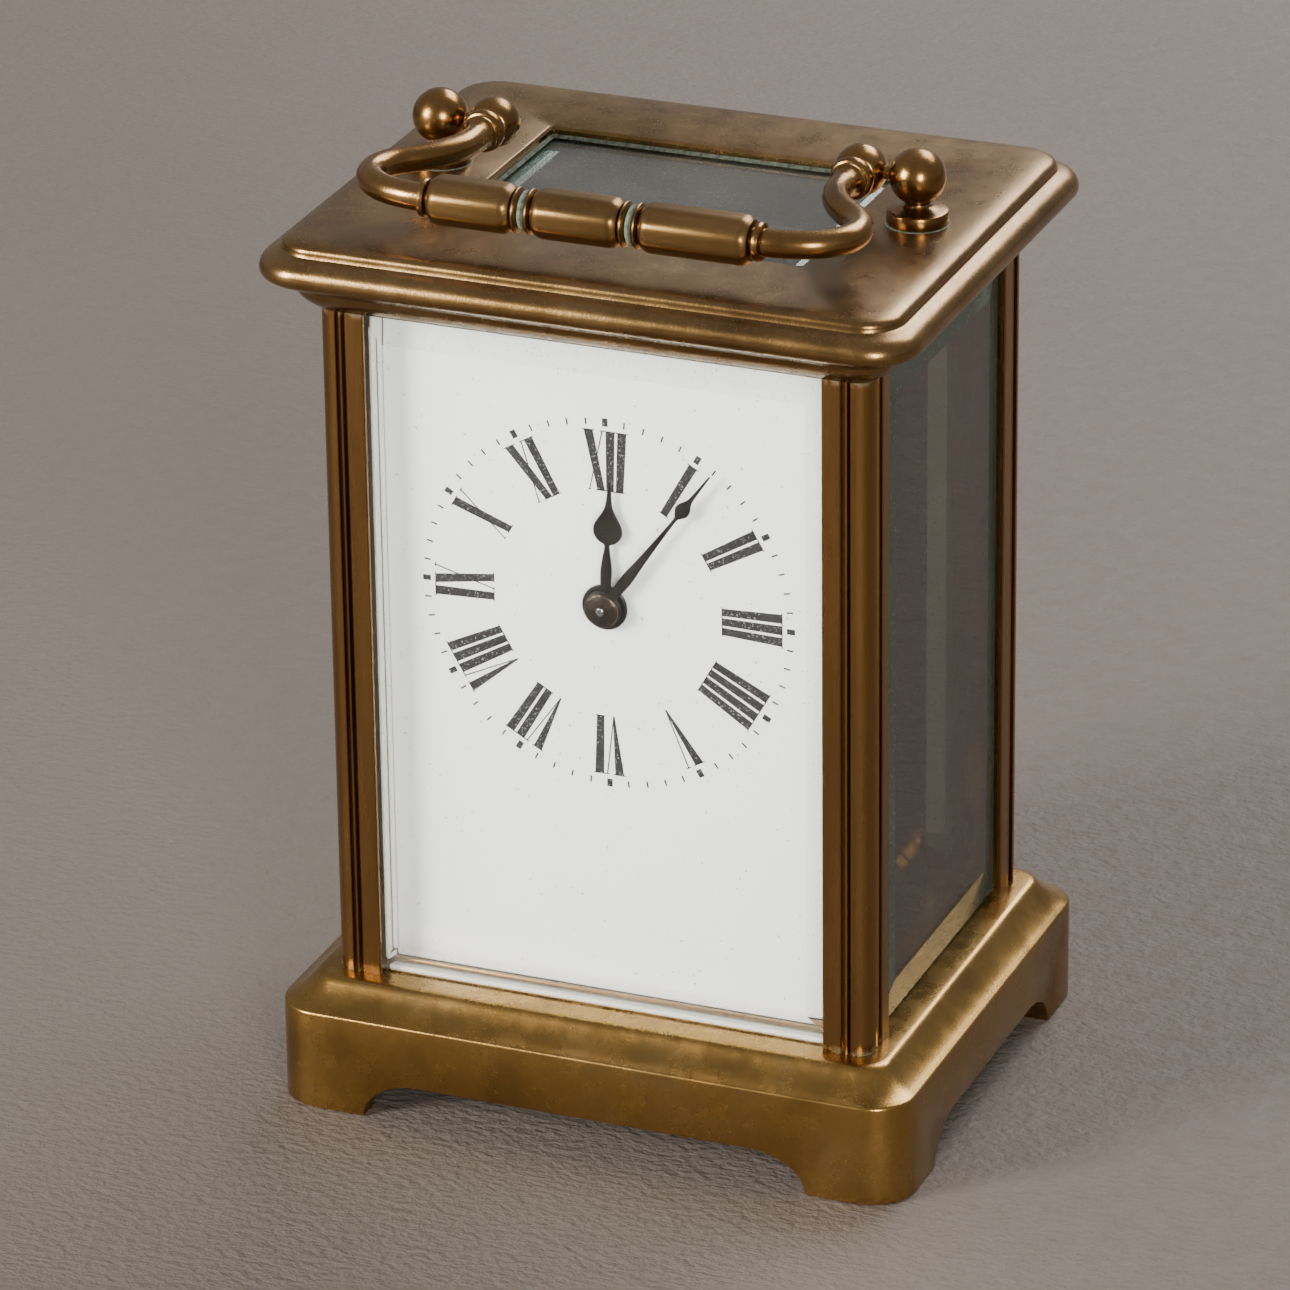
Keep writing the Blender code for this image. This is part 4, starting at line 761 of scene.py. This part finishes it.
class CLOCK_OT_handle(Operator):
    """Two posts on the top, and the swinging handle between them"""
    bl_idname = "clock.handle"
    bl_label = "Handle"

    def execute(self, context):
        sizes = context.scene.clock_case
        for side, sx in (("left", -1), ("right", 1)):
            self.post(side, sx)
            self.arm(side, sx, sizes.wire / MM)
        self.grip(sizes.grip / MM)
        return {"FINISHED"}

    @staticmethod
    def post(side, sx):
        """A flanged post with a ball, and a ring of crust round its foot."""
        profile = [(109.86, 0), (109.86, 3.82), (109.93, 3.78), (109.98, 3.6), (110.02, 3.62),
                   (111.4, 3.62), (111.52, 3.55), (111.6, 3.38), (111.66, 3.05), (111.74, 2.5),
                   (111.86, 2.0), (112.0, 1.7), (112.18, 1.52), (112.42, 1.45)]
        profile += [(HANDLE_Z + a, r) for a, r in ball(POST_BALL, -3.06, POST_BALL, 20)]
        bm = turned(profile, (sx * POST_X, HANDLE_Y, 0), "Z", 48)
        piece(f"post_{side}", bm, "case", [FINISH["handle"], FINISH["crust"]],
              [f"handle_post_{side}"], choose=lambda face: int(face.calc_center_median().z < 109.99))

    @staticmethod
    def arm(side, sx, wire):
        """A bent wire from its ball-ended head to the collar at the grip."""
        profile = [(-d, r) for d, r in ball(HEAD_BALL, -HEAD_BALL, 2.05, 20)]
        profile += [(-2.1, 2.12), (-2.35, 2.05), (-2.45, 2.2), (-2.55, 2.42), (-2.8, 2.56), (-3.2, 2.6),
                    (-3.6, 2.52), (-3.85, 2.35), (-3.92, 2.15), (-4.1, 2.15), (-4.2, 2.2), (-4.4, 2.18),
                    (-4.55, 1.98), (-4.9, 1.84), (-5.4, 1.7), (-5.9, wire - 0.05), (-6.2, 0)]
        head = turned(profile, (sx * HEAD_X, HANDLE_Y, HANDLE_Z), "Y", 40)
        route = eased([Vector((sx * x, HANDLE_Y + y, HANDLE_Z)) for x, y in ARM_ROUTE], 5)
        pivot = turned([(-0.5, 0), (-0.5, 0.8), (0.5, 0.8), (0.5, 0)],
                       (sx * 25.95, HANDLE_Y, HANDLE_Z), "X", 24)
        width = 0.95
        collar = turned([(0, 0), (0, 1.9), (0.15, 2.2), (0.5, 2.3), (0.8, 2.2), (width, 1.9), (width, 0)],
                        (sx * 19.9 - (width if sx < 0 else 0), GRIP_Y, HANDLE_Z), "X", 32)
        piece(f"arm_{side}", merged(swept(route, wire), head, pivot, collar), "handle", FINISH["handle"],
              [f"handle_arm_{side}"])

    @staticmethod
    def grip(radius):
        """Three eight-sided sections, with two rings and a groove between each pair."""
        ring_gap, ring = 0.85, 0.8
        stations = []  # (x, radius, how eight-sided)
        ends = [(0.0, 1.0, 0.0), (0.12, 0.62, 0.0), (0.4, 0.34, 0.3), (0.8, 0.1, 0.7), (1.3, 0.0, 1.0)]
        grooves = []
        x = -GRIP_HALF
        for index, section in enumerate(GRIP_SECTIONS):
            stations += [(x + along, radius - less, facet) for along, less, facet in ends]
            stations += [(x + section / 2, radius, 1.0)]
            x += section
            stations += [(x - along, radius - less, facet) for along, less, facet in reversed(ends)]
            if index == len(GRIP_SECTIONS) - 1:
                break
            for start in (x, x + ring + ring_gap):
                for step in range(7):
                    angle = math.pi * step / 6
                    stations.append((start + 0.05 + (ring - 0.1) * step / 6,
                                     radius - 0.8 + 0.5 * math.sin(angle), 0.0))
                if start == x:
                    grooves.append((x + ring, x + ring + ring_gap))
                    stations += [(x + ring + 0.05, radius - 0.95, 0.0),
                                 (x + ring + 0.25, radius - 0.62, 0.0),
                                 (x + ring + ring_gap - 0.25, radius - 0.62, 0.0),
                                 (x + ring + ring_gap - 0.05, radius - 0.95, 0.0)]
            x += 2 * ring + ring_gap
        rings, sides = [], 48
        for at, reach, facet in stations:
            points = []
            for k in range(sides):
                angle = 2 * math.pi * k / sides
                off = (angle + math.pi / 8) % (math.pi / 4) - math.pi / 8
                eight = min(0.985, math.cos(math.pi / 8) / math.cos(off) * 1.018)
                size = reach * (1 - facet + facet * eight)
                points.append((at, GRIP_Y + size * math.cos(angle), HANDLE_Z + size * math.sin(angle)))
            rings.append(points)

        def choose(face):
            at = face.calc_center_median().x
            return int(any(a < at < b for a, b in grooves))

        piece("grip_body", skin(rings), "handle", [FINISH["grip"], FINISH["crust"]],
              ["handle_grip"], choose=choose, sharp=24)


# ------------------------------------------------------------ dial and hands

def strokes(shapes, low, high):
    """Thin raised shapes, each from the outline of one stroke on the dial as (x, z) points."""
    bm = bmesh.new()
    for shape in shapes:
        ring = [bm.verts.new((x, low, z)) for x, z in shape]
        bm.faces.new(ring)
    bmesh.ops.recalc_face_normals(bm, faces=bm.faces)
    grown = bmesh.ops.extrude_face_region(bm, geom=list(bm.faces), use_keep_orig=True)["geom"]
    bmesh.ops.translate(bm, verts=[g for g in grown if isinstance(g, bmesh.types.BMVert)],
                        vec=(0, high - low, 0))
    bmesh.ops.recalc_face_normals(bm, faces=bm.faces)
    return bm


class CLOCK_OT_dial(Operator):
    """White enamel dial with Roman numerals and a minute ring"""
    bl_idname = "clock.dial"
    bl_label = "Dial"
    NUMERALS = {1: "I", 2: "II", 3: "III", 4: "IIII", 5: "V", 6: "VI", 7: "VII", 8: "VIII", 9: "IX",
                10: "X", 11: "XI", 12: "XII"}
    WIDTHS = {"I": 1.46, "V": 2.55, "X": 2.75}

    def execute(self, context):
        sizes = context.scene.clock_dial
        low, high = (Vector(c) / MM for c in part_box("dial_plate"))
        bm = softened(block(low, high), 0.3, 3)
        piece("dial_enamel", bm, "case", FINISH["enamel"], ["dial_plate"])
        raised, sunk = low.y - 0.035, low.y + 0.1
        shapes = []
        for hour, letters in self.NUMERALS.items():
            shapes += self.numeral(letters, hour * 30, sizes)
        piece("dial_numerals", strokes(shapes, raised, sunk), "case", FINISH["ink"])
        shapes = []
        ring = sizes.minute_ring / MM
        for minute in range(60):
            half, reach = (0.34, 0.5) if minute % 5 == 0 else (0.1, 0.4)
            inner, outer = ring - reach, ring + reach
            box = [(-half, inner), (half, inner), (half, outer), (-half, outer)]
            shapes.append([self.turn(u, r, minute * 6) for u, r in box])
        piece("dial_minutes", strokes(shapes, raised, sunk), "case", FINISH["ink"])
        self.surround(low, high)
        return {"FINISHED"}

    @staticmethod
    def surround(low, high):
        """The brass rest under the dial, and cream strips between its edges and the front glass: a painted
        reflection of the white dial in the pillars' polished inner faces.
        """
        bm = softened(block((low.x, -22.4, DIAL_FOOT - 0.5), (high.x, low.y - 0.1, DIAL_FOOT)), 0.15)
        piece("dial_rest", bm, "case", FINISH["door"])
        # Cream strips at both sides, over and under the dial: painted reflection of the white dial, not a
        # part of the clock
        front, back = -23.85, low.y - 0.05
        spans = [(side * 27.95 - 0.12, side * 27.95 + 0.12, DIAL_FOOT, high.z) for side in (-1, 1)]
        spans += [(low.x, high.x, high.z - 0.1, high.z + 0.2), (low.x, high.x, PLATEAU + 0.1, PLATEAU + 0.7)]
        slips = [block((left, front, foot), (right, back, top)) for left, right, foot, top in spans]
        piece("dial_slips", merged(*slips), "case", FINISH["slip"])

    @staticmethod
    def turn(u, r, degrees):
        """A point u to the right of a radius at a clockwise angle, on the dial."""
        angle = math.radians(degrees)
        return (r * math.sin(angle) + u * math.cos(angle),
                DIAL_Z + r * math.cos(angle) - u * math.sin(angle))

    def numeral(self, letters, degrees, sizes):
        """The strokes of one numeral, which stands along its radius and narrows towards its foot."""
        foot, head = sizes.numeral_inner / MM, sizes.numeral_outer / MM
        thick, thin = sizes.stroke / MM, sizes.hairline / MM
        serif_height, broad, narrow = thin * 0.8, thick + 0.42, 0.55
        total = sum(self.WIDTHS[letter] for letter in letters)
        u = -total / 2
        shapes = []

        def stroke(corners):
            shapes.append([self.turn(a * (0.82 + 0.18 * (b - foot) / (head - foot)), b, degrees)
                           for a, b in corners])

        def bar(u0, u1, width):
            half = width / 2
            stroke([(u0 - half, foot), (u0 + half, foot), (u1 + half, head), (u1 - half, head)])

        def serif(at, end, width):
            half = width / 2
            low, high = (foot, foot + serif_height) if end == foot else (head - serif_height, head)
            stroke([(at - half, low), (at + half, low), (at + half, high), (at - half, high)])

        for letter in letters:
            wide = self.WIDTHS[letter]
            left, right, middle = u + thick / 2 + 0.18, u + wide - 0.25, u + wide / 2
            if letter == "I":
                bar(middle, middle, thick)
                serif(middle, foot, broad)
                serif(middle, head, broad)
            elif letter == "V":
                stroke([(middle - 0.12, foot), (middle + 0.12, foot), (left + thick / 2, head),
                        (left - thick / 2, head)])
                bar(middle, right, thin)
                serif(left, head, broad)
                serif(right, head, narrow)
            else:
                bar(right - 0.33, left, thick)
                bar(left - 0.35, right, thin)
                serif(left - 0.3, foot, narrow)
                serif(right - 0.33, foot, broad)
                serif(left, head, broad)
                serif(right, head, narrow)
            u += wide
        return shapes


def hand_shape(outline, degrees, low, high, bore, boss):
    """A flat hand from (radius, half width) pairs, with a round boss at its centre."""
    angle = math.radians(degrees)
    edge = [(w, r) for r, w in eased([Vector(pair) for pair in outline], 6)]
    ring = edge + [(-w, r) for w, r in reversed(edge)]
    plan = [(x * math.cos(angle) + z * math.sin(angle), DIAL_Z + z * math.cos(angle) - x * math.sin(angle))
            for x, z in ring]
    blade = softened(prism(plan, low, high, "Y"), 0.06, 1, 50)
    hub = turned([(low - 0.05, bore), (low - 0.05, boss - 0.15), (low + 0.08, boss), (high - 0.05, boss),
                  (high, boss - 0.1), (high, bore), (low - 0.05, bore)], (0, 0, DIAL_Z), "Y", 40)
    return merged(blade, hub)


class CLOCK_OT_hands(Operator):
    """Blackened hands and their collet"""
    bl_idname = "clock.hands"
    bl_label = "Hands"

    def execute(self, context):
        for name, body, outline, degrees, bore, boss in (
                ("hour_hand", "hour_hand_and_wheel", HOUR_HAND, HOUR_ANGLE, 1.75, 2.8),
                ("minute_hand", "centre_and_minute_hand", MINUTE_HAND, MINUTE_ANGLE, 0.6, 2.25)):
            low, high = (Vector(c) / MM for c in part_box(name))
            bm = hand_shape(outline, degrees, low.y, high.y, bore, boss)
            piece(name + "_blade", bm, body, FINISH["black"], [name])
        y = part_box("hand_collet")[0][1] / MM
        profile = [(y - 0.12, 0), (y - 0.1, 0.28), (y + 0.02, 0.42), (y + 0.06, 0.62), (y + 0.06, 1.25),
                   (y + 0.12, 1.42), (y + 0.14, 1.72), (y + 0.22, 1.95), (y + 0.34, 2.08), (y + 0.55, 2.12),
                   (y + 0.72, 2.04), (y + 0.72, 0)]
        piece("collet", turned(profile, (0, 0, DIAL_Z), "Y", 48), "centre_and_minute_hand",
              [FINISH["hub"], FINISH["steel"]], ["hand_collet"],
              choose=lambda face: int(face.calc_center_median().y < y - 0.02))
        return {"FINISHED"}


# ------------------------------------------------------------ the movement

def cad_copy(node):
    """A copy of a CAD node's mesh, in millimetres and with its doubles merged."""
    bm = bmesh.new()
    bm.from_mesh(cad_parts[node].data)
    bmesh.ops.scale(bm, vec=(1 / MM, 1 / MM, 1 / MM), verts=bm.verts)
    bmesh.ops.remove_doubles(bm, verts=bm.verts, dist=0.001)
    return bm


def window(centre, inner, outer, start, spread, low, high, arm):
    """One opening between two spokes of a wheel, through y."""
    def edge(radius, steps):
        gap = math.asin(arm / 2 / radius)
        a, b = start + gap, start + spread - gap
        angles = [a + (b - a) * i / steps for i in range(steps + 1)]
        return [(centre[0] + radius * math.cos(t), centre[1] + radius * math.sin(t)) for t in angles]

    return prism(edge(outer, 8) + edge(inner, 4)[::-1], low, high, "Y")


class CLOCK_OT_wheels(Operator):
    """The going wheels, crossed out to thin spokes"""
    bl_idname = "clock.wheels"
    bl_label = "Wheels"
    SPOKES = 5

    def execute(self, context):
        spread = 2 * math.pi / self.SPOKES
        for node, body, hub, rim, arm in (
                ("centre_wheel", "centre_and_minute_hand", 3.4, 9.4, 1.2),
                ("second_wheel", "second_wheel", 3.6, 8.7, 1.4),
                ("third_wheel", "third_wheel", 3.0, 8.2, 1.0)):
            low, high = (Vector(c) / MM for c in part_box(node))
            centre = ((low.x + high.x) / 2, (low.z + high.z) / 2)
            cutters = [window(centre, hub, rim, spread * k + 0.3, spread, low.y - 3, high.y + 3, arm)
                       for k in range(self.SPOKES)]
            bm = carved(cad_copy(node), *cutters)
            piece(node + "_crossed", bm, body, FINISH["wheel"], [node])
        return {"FINISHED"}


CARRIED = {  # the CAD nodes that stay as they are, by finish
    "plate": ["movement_front_plate", "movement_back_plate", "escapement_platform", "balance_cock",
              "movement_pillar_lower_left", "movement_pillar_lower_right", "movement_pillar_upper_left",
              "movement_pillar_upper_right"],
    "wheel": ["hour_wheel", "minute_wheel", "contrate_wheel", "ratchet_wheel", "balance_wheel"],
    "drum": ["mainspring_barrel", "barrel_cover"],
    "steel": ["case_screw_front_left", "case_screw_front_right", "case_screw_rear_left",
              "case_screw_rear_right", "door_hinge_pin_bottom", "door_hinge_pin_top", "click", "click_spring",
              "winding_arbor", "second_arbor", "third_arbor", "centre_arbor", "contrate_arbor",
              "escape_arbor", "escape_wheel", "pallet_lever", "cannon_pinion", "regulator_index"],
    "spring": ["mainspring", "hairspring"],
}


class CLOCK_OT_movement(Operator):
    """Finishes of the movement's parts, and the screws that hold its plates"""
    bl_idname = "clock.movement"
    bl_label = "Movement"

    def execute(self, context):
        for finish, names in CARRIED.items():
            for name in names:
                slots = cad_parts[name].data.materials
                slots.clear()
                slots.append(FINISH[finish])
        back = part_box("movement_back_plate")[1][1] / MM
        profile = [(back + 1.25, 0), (back + 1.25, 1.5), (back + 1.1, 1.85), (back + 0.9, 2.0),
                   (back + 0.1, 2.0), (back - 0.1, 0)]
        screws = []
        for x, z in SCREWS_AT:
            slot = block((x - 3, back + 0.75, z - 0.22), (x + 3, back + 2, z + 0.22))
            screws.append(carved(turned(profile, (x, 0, z), "Y", 24), slot))
        piece("plate_screws", merged(*screws), "case", FINISH["steel"])
        return {"FINISHED"}


# ------------------------------------------------------------ the stage

class CLOCK_OT_stage(Operator):
    """Floor, soft lamps and camera"""
    bl_idname = "clock.stage"
    bl_label = "Stage"

    def execute(self, context):
        self.floor(context)
        for lamp in LAMPS:
            self.lamp(context, *lamp)
        world = bpy.data.worlds.new("room")
        world.use_nodes = True
        sky = world.node_tree.nodes["Background"]
        sky.inputs["Color"].default_value = (0.80, 0.79, 0.78, 1)
        sky.inputs["Strength"].default_value = 0.36
        context.scene.world = world
        self.camera(context)
        return {"FINISHED"}

    @staticmethod
    def floor(context):
        tone = tuple(context.scene.clock_finish.floor)
        n = Nodes("floor_cover")
        n.set(Base_Color=n.ramp(n.noise(9, 4), [(0.3, scaled(tone, (0.93,) * 3)), (0.7, tone)]),
              Roughness=n.remap(n.noise(300), 0.3, 0.7, 0.62, 0.8))
        n.bump(n.noise(900, 4, 0.6, (0.7, 1, 1)), 0.8, 0.0008)
        bm = bmesh.new()
        bmesh.ops.create_grid(bm, x_segments=8, y_segments=8, size=FLOOR_SIZE)
        mesh = bpy.data.meshes.new("floor")
        bm.to_mesh(mesh)
        bm.free()
        mesh.materials.append(n.material)
        floor = bpy.data.objects.new("floor", mesh)
        context.scene.collection.objects.link(floor)

    @staticmethod
    def lamp(context, name, at, towards, size, power, tint):
        data = bpy.data.lights.new(name, "AREA")
        data.shape, data.size, data.size_y = "RECTANGLE", *size
        data.energy, data.color = power, tint
        lamp = bpy.data.objects.new(name, data)
        lamp.location = at
        lamp.rotation_euler = (Vector(towards) - Vector(at)).to_track_quat("-Z", "Y").to_euler()
        context.scene.collection.objects.link(lamp)

    @staticmethod
    def camera(context):
        azimuth, elevation, roll = (math.radians(a) for a in CAMERA_TURN)
        back = Vector((math.sin(azimuth) * math.cos(elevation), -math.cos(azimuth) * math.cos(elevation),
                       math.sin(elevation)))
        right = Vector((math.cos(azimuth), math.sin(azimuth), 0))
        up = right.cross(-back)
        across = right * math.cos(roll) + up * math.sin(roll)
        above = up * math.cos(roll) - right * math.sin(roll)
        target = right * CAMERA_RIGHT + Vector((0, 0, CAMERA_HEIGHT))
        place = (target + back * CAMERA_DISTANCE) * MM
        data = bpy.data.cameras.new("camera")
        data.lens, data.sensor_width, data.clip_start = CAMERA_LENS, CAMERA_SENSOR, 0.01
        camera = bpy.data.objects.new("camera", data)
        turn = Matrix((across, above, back)).transposed().to_4x4()
        camera.matrix_world = Matrix.Translation(place) @ turn
        context.scene.collection.objects.link(camera)
        context.scene.camera = camera


# ------------------------------------------------------------ the add-on

OPERATORS = (CLOCK_OT_stage, CLOCK_OT_base, CLOCK_OT_cornice, CLOCK_OT_pillars, CLOCK_OT_glasses,
             CLOCK_OT_rear_door, CLOCK_OT_handle, CLOCK_OT_dial, CLOCK_OT_hands, CLOCK_OT_wheels,
             CLOCK_OT_movement)


class CLOCK_PT_panel(Panel):
    bl_label = "Carriage Clock"
    bl_idname = "CLOCK_PT_panel"
    bl_space_type = "VIEW_3D"
    bl_region_type = "UI"
    bl_category = "Clock"

    def draw(self, context):
        for settings in (context.scene.clock_case, context.scene.clock_dial, context.scene.clock_finish):
            box = self.layout.box()
            for name in settings.__annotations__:
                box.prop(settings, name)
        for operator in OPERATORS:
            self.layout.operator(operator.bl_idname)


CLASSES = (CaseSettings, DialSettings, FinishSettings, *OPERATORS, CLOCK_PT_panel)


def register():
    for cls in CLASSES:
        bpy.utils.register_class(cls)
    bpy.types.Scene.clock_case = PointerProperty(type=CaseSettings)
    bpy.types.Scene.clock_dial = PointerProperty(type=DialSettings)
    bpy.types.Scene.clock_finish = PointerProperty(type=FinishSettings)


def unregister():
    del bpy.types.Scene.clock_finish
    del bpy.types.Scene.clock_dial
    del bpy.types.Scene.clock_case
    for cls in reversed(CLASSES):
        bpy.utils.unregister_class(cls)


def main():
    register()
    make_finishes(bpy.context.scene.clock_finish)
    for operator in OPERATORS:
        group, name = operator.bl_idname.split(".")
        getattr(getattr(bpy.ops, group), name)()


if __name__ == "__main__":
    main()
